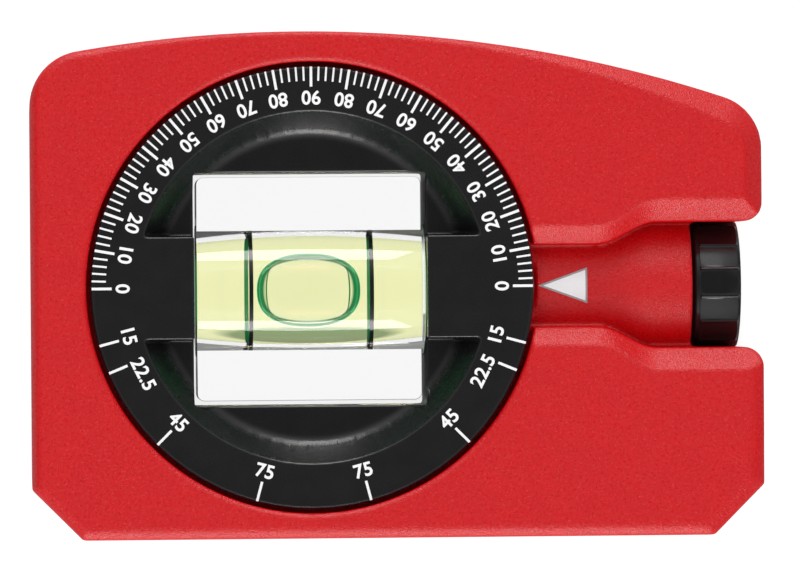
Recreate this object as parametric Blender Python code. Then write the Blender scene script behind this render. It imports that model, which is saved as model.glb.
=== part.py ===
"""A magnetic pocket level with a turning vial dial and a lock knob.

The level is modelled lying on its back. X runs along the magnetic base, Y from the base
to the crowned top, and Z out of the dial. The origin is under the middle of the body, on
the plane of its back face. Every length is in metres.
"""

import math

import bmesh
import bpy
from mathutils import Matrix, Vector

# Fits and meshing
SEAT_GAP = 0.0003
CUT_OVERRUN = 0.002
MERGE_DISTANCE = 0.0000001
SMOOTH_ANGLE = math.radians(35)
DIAL_STEPS = 72
SHAFT_STEPS = 48
VIAL_STEPS = 40
SMALL_STEPS = 20

# Body casting
BODY_THICKNESS = 0.020
LEFT_WALL = 0.0059
BASE_WALL = 0.0027
CROWN_WALL = 0.0032
NECK_LENGTH = 0.0162
NOTCH_LENGTH = 0.0079
CROWN_RADIUS = 0.140
CROWN_PEAK_OFFSET = 0.0024
CORNER_CUT = 0.0054
LEFT_SHOULDER_RADIUS = 0.0060
RIGHT_SHOULDER_RADIUS = 0.0070
CROWN_STEPS = 32
SHOULDER_STEPS = 12

# Sloped band between the sides and the faces
BAND_DEPTH = 0.0022
LEFT_BAND = 0.00085
RIGHT_BAND = 0.00195
BASE_BAND = 0.0017
LEFT_CUT_BAND = 0.00085
RIGHT_CUT_BAND = 0.0015
FACE_CROWN_RADIUS = 0.110

# Bore for the dial
BORE_RADIUS = 0.0240
BORE_EDGE = 0.00035
LEDGE_WIDTH = 0.0020

# Neck: the recess on both faces and the boss in it
RECESS_HALF_NEAR = 0.00635
RECESS_HALF_FAR = 0.0091
RECESS_DEPTH = 0.0065
RECESS_DRAFT = math.radians(23.5)
FLARE_START_SHARE = 0.39
FLARE_END_SHARE = 0.80
FLARE_STEPS = 12
BOSS_RADIUS_NEAR = 0.0070
BOSS_RADIUS_FAR = 0.0079

# Notch for the knob
NOTCH_HALF = 0.0067
NOTCH_MOUTH_RADIUS = 0.0020
NOTCH_MOUTH_STEPS = 6

# Grooved base and its magnets
GROOVE_MOUTH = 0.0108
GROOVE_DEPTH = 0.0022
GROOVE_SLOPE = math.radians(45)
MAGNET_RADIUS = 0.0030
MAGNET_HEIGHT = 0.0030
MAGNET_BORE_INSET = 0.0062
MAGNET_END_INSET = 0.0066
MAGNET_EDGE = 0.0002

# Dial halves
FLANGE_RECESS = 0.0006
FLANGE_THICKNESS = 0.0028
FLANGE_BEVEL = 0.00025
FLANGE_CLEARANCE = 0.0004
HUB_CLEARANCE = 0.0003
HUB_WALL = 0.0020
DECK_THICKNESS = 0.0017
WELL_DEPTH = 0.0038
RING_FACE_WIDTH = 0.0048
WELL_SLOPE_WIDTH = 0.0026
LAND_HALF = 0.00545
SLEEVE_WALL = 0.0012

# Dial screws
SCREW_BOSS_GAP = 0.00055
SCREW_LAND_MARGIN = 0.00015
SCREW_SHANK_RADIUS = 0.0009
SCREW_LENGTH = 0.0094
SCREW_HEAD_RADIUS = 0.0016
SCREW_HEAD_HEIGHT = 0.0013
SCREW_SINK = 0.0020
SCREW_BOSS_RADIUS = 0.0021

# Vial
CORNER_LAND = 0.00195
PLATE_THICKNESS = 0.0070
BLOCK_DROP = 0.0003
VIAL_RADIUS = 0.0071
BARREL_RADIUS_MID = 0.0040
BARREL_RADIUS_END = 0.0035
VIAL_END_WALL = 0.0007
BARREL_STEPS = 12
FLUID_GAP = 0.0001
PLUG_RADIUS = 0.0036
PLUG_THICKNESS = 0.0006
LINE_SPACING = 0.0125
LINE_WIDTH = 0.00040
LINE_THICKNESS = 0.00010
LINE_GAP = 0.00005
LINE_STEPS = 12
BUBBLE_LENGTH = 0.0107
BUBBLE_WIDTH = 0.0058
BUBBLE_DEPTH = 0.0018
BUBBLE_STEPS = 12

# Lock knob, screw and shoe
KNOB_RADIUS = 0.0071
KNOB_CLEARANCE = 0.0004
KNOB_RIM_INNER = 0.0006
KNOB_FLUTED_LENGTH = 0.0040
KNOB_RIM_OUTER = 0.0002
KNOB_DOME = 0.0003
DOME_STEPS = 3
KNOB_RIM_CHAMFER = 0.0003
FLUTE_COUNT = 15
FLUTE_DEPTH = 0.00038
FLUTE_LAND_SHARE = 0.13
FLUTE_STEPS = 5
FLUTE_PHASE = math.radians(10.35)
LOCK_SCREW_RADIUS = 0.00235
LOCK_HEAD_FLATS = 0.0060
LOCK_HEAD_LENGTH = 0.0026
LOCK_HEAD_COVER = 0.0009
SHOE_LENGTH = 0.0040
SHOE_CHAMFER = 0.0004

# Places worked out from the sizes above
BODY_LENGTH = LEFT_WALL + 2 * BORE_RADIUS + NECK_LENGTH + NOTCH_LENGTH
BODY_HEIGHT = BASE_WALL + 2 * BORE_RADIUS + CROWN_WALL
BODY_LEFT, BODY_RIGHT = -BODY_LENGTH / 2, BODY_LENGTH / 2
BODY_BASE, BODY_TOP = -BODY_HEIGHT / 2, BODY_HEIGHT / 2
MID_Z = BODY_THICKNESS / 2
DIAL_X = BODY_LEFT + LEFT_WALL + BORE_RADIUS
DIAL_Y = BODY_BASE + BASE_WALL + BORE_RADIUS
NECK_START = DIAL_X + BORE_RADIUS
NOTCH_X = NECK_START + NECK_LENGTH
LEDGE_DEPTH = FLANGE_RECESS + FLANGE_THICKNESS + SEAT_GAP
LEDGE_RADIUS = BORE_RADIUS - LEDGE_WIDTH
FLANGE_RADIUS = BORE_RADIUS - FLANGE_CLEARANCE
HUB_RADIUS = LEDGE_RADIUS - HUB_CLEARANCE
HUB_INNER_RADIUS = HUB_RADIUS - HUB_WALL
SPIGOT_RADIUS = HUB_INNER_RADIUS - SEAT_GAP
RING_Z = MID_Z - FLANGE_RECESS
WELL_Z = RING_Z - WELL_DEPTH
DECK_Z = WELL_Z - DECK_THICKNESS
FLANGE_Z = RING_Z - FLANGE_THICKNESS
WELL_RADIUS = FLANGE_RADIUS - RING_FACE_WIDTH
WINDOW_HALF = (HUB_INNER_RADIUS - CORNER_LAND) / math.sqrt(2)
BLOCK_HALF = WINDOW_HALF - SEAT_GAP
SCREW_X = WINDOW_HALF + SLEEVE_WALL + SCREW_BOSS_GAP + SCREW_BOSS_RADIUS
SCREW_Y = LAND_HALF - SCREW_LAND_MARGIN - SCREW_BOSS_RADIUS
SHOE_START = DIAL_X + HUB_RADIUS + SEAT_GAP
SCREW_START = SHOE_START + SHOE_LENGTH + SEAT_GAP
KNOB_START = NOTCH_X + SEAT_GAP
LOCK_HOLE_RADIUS = LOCK_SCREW_RADIUS + SEAT_GAP


def clear_scene():
    for item in list(bpy.data.objects):
        bpy.data.objects.remove(item, do_unlink=True)


def finish(name, colour, roughness, metallic=0.0):
    """A Principled material; the colour is linear red, green, blue and alpha."""
    material = bpy.data.materials.new(name)
    material.use_nodes = True
    shader = material.node_tree.nodes["Principled BSDF"]
    shader.inputs["Base Color"].default_value = colour
    shader.inputs["Roughness"].default_value = roughness
    shader.inputs["Metallic"].default_value = metallic
    shader.inputs["Alpha"].default_value = colour[3]
    return material


def spread(start, end, steps):
    """Evenly spaced values from start to end, both included."""
    return [start + (end - start) * i / steps for i in range(steps + 1)]


def arc(centre, radius, start, end, steps):
    """Points along an arc in the plane, both ends included."""
    turns = spread(start, end, steps)
    return [centre + radius * Vector((math.cos(turn), math.sin(turn))) for turn in turns]


def flare(share):
    """0 before the neck widens, 1 after it, and a smooth wave between."""
    along = (share - FLARE_START_SHARE) / (FLARE_END_SHARE - FLARE_START_SHARE)
    return 0.5 - 0.5 * math.cos(math.pi * min(max(along, 0.0), 1.0))


def neck_shares():
    """Shares of the neck's length at which its widening is drawn."""
    return [0.0] + spread(FLARE_START_SHARE, FLARE_END_SHARE, FLARE_STEPS) + [1.0]


def loft(loops):
    """A closed solid through matching loops of points, capped at both ends."""
    bm = bmesh.new()
    rings = [[bm.verts.new(point) for point in loop] for loop in loops]
    for lower, upper in zip(rings, rings[1:]):
        for i in range(len(lower)):
            j = (i + 1) % len(lower)
            bm.faces.new((lower[i], lower[j], upper[j], upper[i]))
    bm.faces.new(rings[0])
    bm.faces.new(rings[-1])
    bmesh.ops.recalc_face_normals(bm, faces=bm.faces)
    return bm


def at_height(outline, z):
    return [(x, y, z) for x, y in outline]


def prism(outline, low, high):
    """An outline in the XY plane drawn up from low to high."""
    return loft([at_height(outline, low), at_height(outline, high)])


def box(low, high):
    outline = [(low[0], low[1]), (high[0], low[1]), (high[0], high[1]), (low[0], high[1])]
    return prism(outline, low[2], high[2])


def revolve(profile, steps):
    """A profile of (radius, height) points turned about Z."""
    bm = bmesh.new()
    verts = [bm.verts.new((radius, 0, height)) for radius, height in profile]
    edges = [bm.edges.new(pair) for pair in zip(verts, verts[1:])]
    bmesh.ops.spin(
        bm, geom=verts + edges, axis=(0, 0, 1), cent=(0, 0, 0), angle=2 * math.pi, steps=steps
    )
    bmesh.ops.remove_doubles(bm, verts=bm.verts, dist=MERGE_DISTANCE)
    bmesh.ops.recalc_face_normals(bm, faces=bm.faces)
    return bm


def cylinder(radius, low, high, steps):
    return revolve([(0, low), (radius, low), (radius, high), (0, high)], steps)


def moved(bm, offset):
    bmesh.ops.translate(bm, verts=bm.verts, vec=offset)
    return bm


def gathered(shapes):
    """Several separate closed shapes in one mesh, so that one boolean takes them all."""
    whole = bmesh.new()
    for shape in shapes:
        mesh = bpy.data.meshes.new("gathered")
        shape.to_mesh(mesh)
        shape.free()
        whole.from_mesh(mesh)
        bpy.data.meshes.remove(mesh)
    return whole


def empty(name, location, turn=(0, 0, 0)):
    item = bpy.data.objects.new(name, None)
    item.location = location
    item.rotation_euler = turn
    bpy.context.scene.collection.objects.link(item)
    return item


def piece(name, bm, parent, material):
    """A named sub-part, shaded smooth except at its edges."""
    mesh = bpy.data.meshes.new(name)
    bm.to_mesh(mesh)
    bm.free()
    mesh.shade_smooth()
    mesh.set_sharp_from_angle(angle=SMOOTH_ANGLE)
    item = bpy.data.objects.new(name, mesh)
    item.parent = parent
    bpy.context.scene.collection.objects.link(item)
    if material:
        mesh.materials.append(material)
    return item


def tool(name, bm, parent):
    """A shape that only cuts or joins, and isn't a piece of the level."""
    item = piece(name, bm, parent, None)
    item.hide_render = True
    item.display_type = "WIRE"
    return item


def combine(target, operation, shapes):
    for shape in shapes:
        modifier = target.modifiers.new(shape.name, "BOOLEAN")
        modifier.operation = operation
        modifier.solver = "EXACT"
        modifier.object = shape


def shoulder_centre(side_x, inward, radius, crown_centre, crown_radius):
    """Centre of the arc that rolls from an upright side into the crown."""
    x = side_x + inward * radius
    reach = crown_radius - radius
    return Vector((x, crown_centre.y + math.sqrt(reach**2 - (x - crown_centre.x) ** 2)))


def body_outline(left_band, right_band, base_band, left_cut_band, right_cut_band, crown_radius):
    """The casting's outline, drawn inside its outer sides by the widths of the bands."""
    left, right = BODY_LEFT + left_band, BODY_RIGHT - right_band
    base = BODY_BASE + base_band
    left_reach = CORNER_CUT + left_cut_band * math.sqrt(2)
    right_reach = CORNER_CUT + right_cut_band * math.sqrt(2)
    crown = Vector((DIAL_X - CROWN_PEAK_OFFSET, BODY_TOP - crown_radius))
    right_radius = RIGHT_SHOULDER_RADIUS - right_band
    left_radius = LEFT_SHOULDER_RADIUS - left_band
    right_centre = shoulder_centre(right, -1, right_radius, crown, crown_radius)
    left_centre = shoulder_centre(left, 1, left_radius, crown, crown_radius)
    right_turn = math.atan2(*reversed(right_centre - crown))
    left_turn = math.atan2(*reversed(left_centre - crown))
    outline = [
        Vector((BODY_LEFT + left_reach - base_band, base)),
        Vector((BODY_RIGHT - right_reach + base_band, base)),
        Vector((right, BODY_BASE + right_reach - right_band)),
    ]
    outline += arc(right_centre, right_radius, 0, right_turn, SHOULDER_STEPS)
    outline += arc(crown, crown_radius, right_turn, left_turn, CROWN_STEPS)[1:-1]
    outline += arc(left_centre, left_radius, left_turn, math.pi, SHOULDER_STEPS)
    outline.append(Vector((left, BODY_BASE + left_reach - left_band)))
    return outline


def body_blank():
    """The casting's block: upright sides, and a sloped band to each face."""
    sides = body_outline(0, 0, 0, 0, 0, CROWN_RADIUS)
    face = body_outline(
        LEFT_BAND, RIGHT_BAND, BASE_BAND, LEFT_CUT_BAND, RIGHT_CUT_BAND, FACE_CROWN_RADIUS
    )
    return loft(
        [
            at_height(face, -MID_Z),
            at_height(sides, BAND_DEPTH - MID_Z),
            at_height(sides, MID_Z - BAND_DEPTH),
            at_height(face, MID_Z),
        ]
    )


def recess_outline(depth):
    """The neck recess at a depth below the face, its walls leaning in with the draft."""
    lean = depth * math.tan(RECESS_DRAFT)
    upper = [Vector((DIAL_X + LEDGE_RADIUS - LEDGE_WIDTH, RECESS_HALF_NEAR - lean))]
    for share in neck_shares():
        half = RECESS_HALF_NEAR + (RECESS_HALF_FAR - RECESS_HALF_NEAR) * flare(share)
        upper.append(Vector((NECK_START + NECK_LENGTH * share, half - lean)))
    upper.append(Vector((BODY_RIGHT + CUT_OVERRUN, RECESS_HALF_FAR - lean)))
    lower = [Vector((point.x, -point.y)) for point in reversed(upper)]
    return upper + lower


def recess_cutter(side):
    """The neck recess on the front (side 1) or the back (side -1)."""
    over = at_height(recess_outline(-CUT_OVERRUN), side * (MID_Z + CUT_OVERRUN))
    floor = at_height(recess_outline(RECESS_DEPTH), side * (MID_Z - RECESS_DEPTH))
    return loft([over, floor])


def boss_blank():
    """The barrel boss that carries the lock screw, turned about Z for the lock axis."""
    start = DIAL_X + LEDGE_RADIUS - LEDGE_WIDTH
    profile = [(0, start), (BOSS_RADIUS_NEAR, start)]
    for share in neck_shares():
        radius = BOSS_RADIUS_NEAR + (BOSS_RADIUS_FAR - BOSS_RADIUS_NEAR) * flare(share)
        profile.append((radius, NECK_START + NECK_LENGTH * share))
    profile.append((0, NOTCH_X))
    return revolve(profile, SHAFT_STEPS)


def bore_cutter():
    """The dial's stepped bore, the same from both faces."""
    ledge = MID_Z - LEDGE_DEPTH
    half = [
        (LEDGE_RADIUS, ledge),
        (BORE_RADIUS, ledge),
        (BORE_RADIUS, MID_Z - BORE_EDGE),
        (BORE_RADIUS + BORE_EDGE, MID_Z),
        (BORE_RADIUS + BORE_EDGE, MID_Z + CUT_OVERRUN),
        (0, MID_Z + CUT_OVERRUN),
    ]
    mirrored = [(radius, -height) for radius, height in reversed(half)]
    return revolve(mirrored + half, DIAL_STEPS)


def notch_outline():
    """The slot the knob turns in, with rounded corners at its mouth."""
    start = BODY_RIGHT - NOTCH_MOUTH_RADIUS
    centre = Vector((start, NOTCH_HALF + NOTCH_MOUTH_RADIUS))
    mouth = arc(centre, NOTCH_MOUTH_RADIUS, -math.pi / 2, 0, NOTCH_MOUTH_STEPS)
    mouth.append(Vector((BODY_RIGHT + CUT_OVERRUN, centre.y)))
    upper = [Vector((NOTCH_X, NOTCH_HALF))] + mouth
    lower = [Vector((point.x, -point.y)) for point in reversed(upper)]
    return upper + lower


def groove_cutter():
    """The V groove along the base, drawn as a cross-section and turned to lie along X."""
    root_half = GROOVE_MOUTH / 2 - GROOVE_DEPTH / math.tan(GROOVE_SLOPE)
    over_half = GROOVE_MOUTH / 2 + CUT_OVERRUN / math.tan(GROOVE_SLOPE)
    low, high = BODY_BASE - CUT_OVERRUN, BODY_BASE + GROOVE_DEPTH
    outline = [(-over_half, low), (over_half, low), (root_half, high), (-root_half, high)]
    bm = prism(outline, BODY_LEFT - CUT_OVERRUN, BODY_RIGHT + CUT_OVERRUN)
    lay_along_x = Matrix.Rotation(math.pi / 2, 4, "Y")
    bmesh.ops.transform(bm, verts=bm.verts, matrix=lay_along_x)
    return bm


def magnet_places():
    """X of each magnet, clear of the thin wall under the bore."""
    end_place = BODY_RIGHT - CORNER_CUT - MAGNET_END_INSET
    reach = BORE_RADIUS - MAGNET_BORE_INSET
    return [DIAL_X - reach, DIAL_X + reach, end_place]


def build_frame(lock_axis, material):
    """The casting. Its middle plane is the reference for everything that is cut into it."""
    middle = empty("frame_middle", (0, 0, MID_Z))
    dial_middle = empty("frame_bore", (DIAL_X, DIAL_Y, MID_Z))
    neck = empty("frame_neck", (0, DIAL_Y, MID_Z))
    frame = piece("frame", body_blank(), middle, material)
    recesses = [
        tool("neck_recess_front", recess_cutter(1), neck),
        tool("neck_recess_back", recess_cutter(-1), neck),
    ]
    combine(frame, "DIFFERENCE", recesses)
    combine(frame, "UNION", [tool("boss", boss_blank(), lock_axis)])
    knob_pocket = KNOB_RADIUS + KNOB_CLEARANCE
    past_end = BODY_RIGHT + CUT_OVERRUN
    notch = prism(notch_outline(), -MID_Z - CUT_OVERRUN, MID_Z + CUT_OVERRUN)
    cuts = [
        tool("dial_bore", bore_cutter(), dial_middle),
        tool("knob_notch", notch, neck),
        tool("knob_pocket", cylinder(knob_pocket, NOTCH_X, past_end, SHAFT_STEPS), lock_axis),
        tool("lock_hole", cylinder(LOCK_HOLE_RADIUS, DIAL_X, past_end, SMALL_STEPS), lock_axis),
        tool("base_groove", groove_cutter(), middle),
    ]
    for number, x in enumerate(magnet_places(), start=1):
        seat = magnet_seat(number, x)
        cuts.append(tool(f"magnet_pocket_{number}", magnet_pocket(), seat))
    combine(frame, "DIFFERENCE", cuts)


def magnet_pocket():
    return cylinder(
        MAGNET_RADIUS + SEAT_GAP, -CUT_OVERRUN, MAGNET_HEIGHT + SEAT_GAP, SMALL_STEPS
    )


def magnet_seat(number, x):
    """An empty at the groove's root, its Z pointing into the body."""
    place = (x, BODY_BASE + GROOVE_DEPTH, MID_Z)
    return empty(f"magnet_seat_{number}", place, turn=(-math.pi / 2, 0, 0))


def build_magnets(material):
    profile = [
        (0, 0),
        (MAGNET_RADIUS - MAGNET_EDGE, 0),
        (MAGNET_RADIUS, MAGNET_EDGE),
        (MAGNET_RADIUS, MAGNET_HEIGHT),
        (0, MAGNET_HEIGHT),
    ]
    for number in range(1, len(magnet_places()) + 1):
        seat = bpy.data.objects[f"magnet_seat_{number}"]
        piece(f"magnet_{number}", revolve(profile, SMALL_STEPS), seat, material)


def well_cutter(side):
    """One of the two sunken segments beside the lands: a cone cut off along the land."""
    slope = WELL_SLOPE_WIDTH / WELL_DEPTH
    floor_radius = WELL_RADIUS - WELL_SLOPE_WIDTH
    over_radius = WELL_RADIUS + CUT_OVERRUN * slope
    over_z = RING_Z + CUT_OVERRUN
    profile = [(0, WELL_Z), (floor_radius, WELL_Z), (over_radius, over_z), (0, over_z)]
    bm = revolve(profile, DIAL_STEPS)
    cut = bmesh.ops.bisect_plane(
        bm,
        geom=bm.verts[:] + bm.edges[:] + bm.faces[:],
        plane_co=(0, side * LAND_HALF, 0),
        plane_no=(0, -side, 0),
        clear_outer=True,
    )
    rim = [item for item in cut["geom_cut"] if isinstance(item, bmesh.types.BMEdge)]
    bmesh.ops.contextual_create(bm, geom=rim)
    bmesh.ops.recalc_face_normals(bm, faces=bm.faces)
    return bm


def window_box(grow, low, high):
    """A square prism round the vial block, grown past the window by a width."""
    half = WINDOW_HALF + grow
    return box((-half, -half - BLOCK_DROP, low), (half, half - BLOCK_DROP, high))


def screw_places():
    return [
        Vector((side_x * SCREW_X, side_y * SCREW_Y, 0))
        for side_x in (-1, 1)
        for side_y in (-1, 1)
    ]


def dial_front_blank():
    """The front half: a flange, a hub through the bore and a deck across the hub."""
    hub_end = -FLANGE_Z + SEAT_GAP
    profile = [
        (0, DECK_Z),
        (HUB_INNER_RADIUS, DECK_Z),
        (HUB_INNER_RADIUS, hub_end),
        (HUB_RADIUS, hub_end),
        (HUB_RADIUS, FLANGE_Z),
        (FLANGE_RADIUS, FLANGE_Z),
        (FLANGE_RADIUS, RING_Z - FLANGE_BEVEL),
        (FLANGE_RADIUS - FLANGE_BEVEL, RING_Z),
        (0, RING_Z),
    ]
    return revolve(profile, DIAL_STEPS)


def dial_rear_blank():
    """The rear half, drawn facing up: a flange and a spigot that enters the hub."""
    profile = [
        (0, DECK_Z),
        (SPIGOT_RADIUS, DECK_Z),
        (SPIGOT_RADIUS, FLANGE_Z),
        (FLANGE_RADIUS, FLANGE_Z),
        (FLANGE_RADIUS, RING_Z - FLANGE_BEVEL),
        (FLANGE_RADIUS - FLANGE_BEVEL, RING_Z),
        (0, RING_Z),
    ]
    return revolve(profile, DIAL_STEPS)


def build_dial_front(dial_axis, material):
    front = piece("dial_front", dial_front_blank(), dial_axis, material)
    boss_end = -DECK_Z + SEAT_GAP
    boss_root = DECK_Z + SEAT_GAP
    hole_end = SCREW_LENGTH + SCREW_SINK - RING_Z
    hole_radius = SCREW_SHANK_RADIUS + SEAT_GAP
    joined = [window_box(SLEEVE_WALL, boss_end, boss_root)]
    cuts = [window_box(0, boss_end - CUT_OVERRUN, RING_Z + CUT_OVERRUN)]
    for place in screw_places():
        joined.append(moved(cylinder(SCREW_BOSS_RADIUS, boss_end, boss_root, SMALL_STEPS), place))
        hole = cylinder(hole_radius, boss_end - CUT_OVERRUN, hole_end, SMALL_STEPS)
        cuts.append(moved(hole, place))
    wells = gathered([well_cutter(side) for side in (-1, 1)])
    combine(front, "DIFFERENCE", [tool("front_wells", wells, dial_axis)])
    combine(front, "UNION", [tool("sleeve_and_bosses", gathered(joined), dial_axis)])
    combine(front, "DIFFERENCE", [tool("window_and_pilots", gathered(cuts), dial_axis)])


def build_dial_rear(dial_axis, material):
    """The rear half is drawn facing up and turned over about X."""
    turned = empty("dial_rear_turn", (0, 0, 0), turn=(math.pi, 0, 0))
    turned.parent = dial_axis
    rear = piece("dial_rear", dial_rear_blank(), turned, material)
    hole_radius = SCREW_SHANK_RADIUS + SEAT_GAP
    head_radius = SCREW_HEAD_RADIUS + SEAT_GAP
    head_floor = RING_Z - SCREW_SINK
    under_z, over_z = DECK_Z - CUT_OVERRUN, RING_Z + CUT_OVERRUN
    stepped = [
        (0, under_z),
        (hole_radius, under_z),
        (hole_radius, head_floor),
        (head_radius, head_floor),
        (head_radius, over_z),
        (0, over_z),
    ]
    holes = [moved(revolve(stepped, SMALL_STEPS), place) for place in screw_places()]
    wells = gathered([well_cutter(side) for side in (-1, 1)])
    window = window_box(0, -over_z, -under_z)
    combine(rear, "DIFFERENCE", [tool("rear_wells", wells, turned)])
    combine(rear, "DIFFERENCE", [tool("rear_screw_holes", gathered(holes), turned)])
    combine(rear, "DIFFERENCE", [tool("rear_window", window, dial_axis)])


def build_dial_screws(dial_axis, material):
    """Four pan screws from the rear; each has its origin under its head."""
    head_z = SCREW_SINK - RING_Z - SEAT_GAP
    profile = [
        (0, -SCREW_HEAD_HEIGHT),
        (SCREW_SHANK_RADIUS, -SCREW_HEAD_HEIGHT),
        (SCREW_HEAD_RADIUS, -SCREW_HEAD_HEIGHT / 2),
        (SCREW_HEAD_RADIUS, 0),
        (SCREW_SHANK_RADIUS, 0),
        (SCREW_SHANK_RADIUS, SCREW_LENGTH - SCREW_SHANK_RADIUS),
        (0, SCREW_LENGTH),
    ]
    for number, place in enumerate(screw_places(), start=1):
        screw = piece(f"dial_screw_{number}", revolve(profile, SMALL_STEPS), dial_axis, material)
        screw.location = (place.x, place.y, head_z)


def barrel_profile(half_length, shrink):
    """The vial's bore: widest at the middle, on one shallow arc."""
    points = []
    for along in spread(-1.0, 1.0, BARREL_STEPS):
        radius = BARREL_RADIUS_MID - (BARREL_RADIUS_MID - BARREL_RADIUS_END) * along**2
        points.append((radius - shrink, along * half_length))
    return points


def build_vial(vial_axis, clear, liquid):
    """A clear plate with a cylinder across it, and what the cylinder's bore holds."""
    bore_low = VIAL_END_WALL - BLOCK_HALF
    bore_high = BLOCK_HALF - PLUG_THICKNESS - SEAT_GAP
    bore_half = (bore_high - bore_low) / 2
    centred = Vector((0, 0, (bore_high + bore_low) / 2))
    plate_half = PLATE_THICKNESS / 2
    plate = box((-plate_half, -BLOCK_HALF, -BLOCK_HALF), (plate_half, BLOCK_HALF, BLOCK_HALF))
    block = piece("vial_block", plate, vial_axis, clear)
    outer = cylinder(VIAL_RADIUS, -BLOCK_HALF, BLOCK_HALF, VIAL_STEPS)
    combine(block, "UNION", [tool("vial_cylinder", outer, vial_axis)])
    plug_bore = PLUG_RADIUS + SEAT_GAP
    past_plug = bore_half + PLUG_THICKNESS + CUT_OVERRUN
    bore = [(0, -bore_half)] + barrel_profile(bore_half, 0)
    bore += [(plug_bore, bore_half), (plug_bore, past_plug), (0, past_plug)]
    bore = moved(revolve(bore, SHAFT_STEPS), centred)
    combine(block, "DIFFERENCE", [tool("vial_bore", bore, vial_axis)])
    plug = cylinder(PLUG_RADIUS, BLOCK_HALF - PLUG_THICKNESS, BLOCK_HALF, SHAFT_STEPS)
    piece("vial_plug", plug, vial_axis, clear)
    fluid_half = bore_half - FLUID_GAP
    fluid = [(0, -fluid_half)] + barrel_profile(fluid_half, FLUID_GAP) + [(0, fluid_half)]
    fluid = moved(revolve(fluid, SHAFT_STEPS), centred)
    fluid = piece("vial_fluid", fluid, vial_axis, liquid)
    combine(fluid, "DIFFERENCE", [tool("bubble", bubble_shape(), vial_axis)])


def vial_line(face, middle):
    """A printed line on the cylinder's front (face 1) or rear (face -1), from plate to plate."""
    reach = math.acos((PLATE_THICKNESS / 2 + SEAT_GAP) / VIAL_RADIUS)
    inner = VIAL_RADIUS + LINE_GAP
    outer = inner + LINE_THICKNESS
    low, high = middle - LINE_WIDTH / 2, middle + LINE_WIDTH / 2
    loops = []
    for turn in spread(-reach, reach, LINE_STEPS):
        outward = Vector((-face * math.cos(turn), math.sin(turn)))
        section = [(inner, low), (outer, low), (outer, high), (inner, high)]
        loops.append([(*(outward * radius), along) for radius, along in section])
    return loft(loops)


def build_vial_lines(vial_axis, mark):
    for face_name, face in (("front", 1), ("rear", -1)):
        for side_name, side in (("left", -1), ("right", 1)):
            line = vial_line(face, side * LINE_SPACING / 2)
            piece(f"vial_line_{face_name}_{side_name}", line, vial_axis, mark)


def bubble_shape():
    """The bubble, floated up against the front of the barrel's wall."""
    bm = bmesh.new()
    bmesh.ops.create_uvsphere(bm, u_segments=2 * BUBBLE_STEPS, v_segments=BUBBLE_STEPS, radius=1)
    size = Matrix.Diagonal((BUBBLE_DEPTH, BUBBLE_WIDTH / 2, BUBBLE_LENGTH / 2, 1))
    place = Matrix.Translation((-BARREL_RADIUS_MID, 0, 0))
    bmesh.ops.transform(bm, verts=bm.verts, matrix=place @ size)
    return bm


def knob_ring(x, radius, flute_depth):
    """One cross-section of the knob: crest lands with scooped flutes between them."""
    points = []
    pitch = 2 * math.pi / FLUTE_COUNT
    for flute in range(FLUTE_COUNT):
        crest = FLUTE_PHASE + pitch * (flute + 0.5)
        for share in spread(0.0, 1.0, FLUTE_STEPS):
            turn = crest + pitch * (FLUTE_LAND_SHARE / 2 + (1 - FLUTE_LAND_SHARE) * share)
            reach = radius - flute_depth * math.sin(math.pi * share)
            points.append((reach * math.cos(turn), reach * math.sin(turn), x))
    return points


def build_knob(lock_axis, plastic, steel):
    """The fluted knob, moulded round the head of the lock screw."""
    fluted_start = KNOB_START + KNOB_RIM_INNER
    fluted_end = fluted_start + KNOB_FLUTED_LENGTH
    knob_end = fluted_end + KNOB_RIM_OUTER
    rim_radius = KNOB_RADIUS - FLUTE_DEPTH
    rows = [
        (KNOB_START, rim_radius - KNOB_RIM_CHAMFER, 0),
        (KNOB_START + KNOB_RIM_CHAMFER, rim_radius, 0),
        (fluted_start, rim_radius, 0),
        (fluted_start, KNOB_RADIUS, FLUTE_DEPTH),
        (fluted_end, KNOB_RADIUS, FLUTE_DEPTH),
    ]
    for share in spread(1.0, 0.0, DOME_STEPS)[:-1]:
        rows.append((knob_end + KNOB_DOME * (1 - share**2), rim_radius * share, 0))
    knob = piece("lock_knob", loft([knob_ring(*row) for row in rows]), lock_axis, plastic)
    head_high = knob_end - LOCK_HEAD_COVER
    head_low = head_high - LOCK_HEAD_LENGTH
    head_middle = (head_low + head_high) / 2
    hole = cylinder(LOCK_HOLE_RADIUS, KNOB_START - CUT_OVERRUN, head_middle, SMALL_STEPS)
    socket_outline = hexagon(LOCK_HEAD_FLATS / 2 + SEAT_GAP)
    socket = prism(socket_outline, head_low - SEAT_GAP, head_high + SEAT_GAP)
    hollows = [tool("knob_hole", hole, lock_axis), tool("knob_socket", socket, lock_axis)]
    combine(knob, "DIFFERENCE", hollows)
    shank = cylinder(LOCK_SCREW_RADIUS, SCREW_START, head_middle, SMALL_STEPS)
    screw = piece("lock_screw", shank, lock_axis, steel)
    head = prism(hexagon(LOCK_HEAD_FLATS / 2), head_low, head_high)
    combine(screw, "UNION", [tool("lock_screw_head", head, lock_axis)])


def hexagon(half_flats):
    corner = half_flats / math.cos(math.pi / 6)
    turns = [math.pi / 3 * i for i in range(6)]
    return [(corner * math.cos(turn), corner * math.sin(turn)) for turn in turns]


def build_brake_shoe(lock_axis, material):
    """The plastic shoe between the screw's tip and the dial's hub."""
    radius = LOCK_SCREW_RADIUS
    end = SHOE_START + SHOE_LENGTH
    profile = [
        (0, SHOE_START),
        (radius - SHOE_CHAMFER, SHOE_START),
        (radius, SHOE_START + SHOE_CHAMFER),
        (radius, end),
        (0, end),
    ]
    piece("brake_shoe", revolve(profile, SMALL_STEPS), lock_axis, material)


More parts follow.
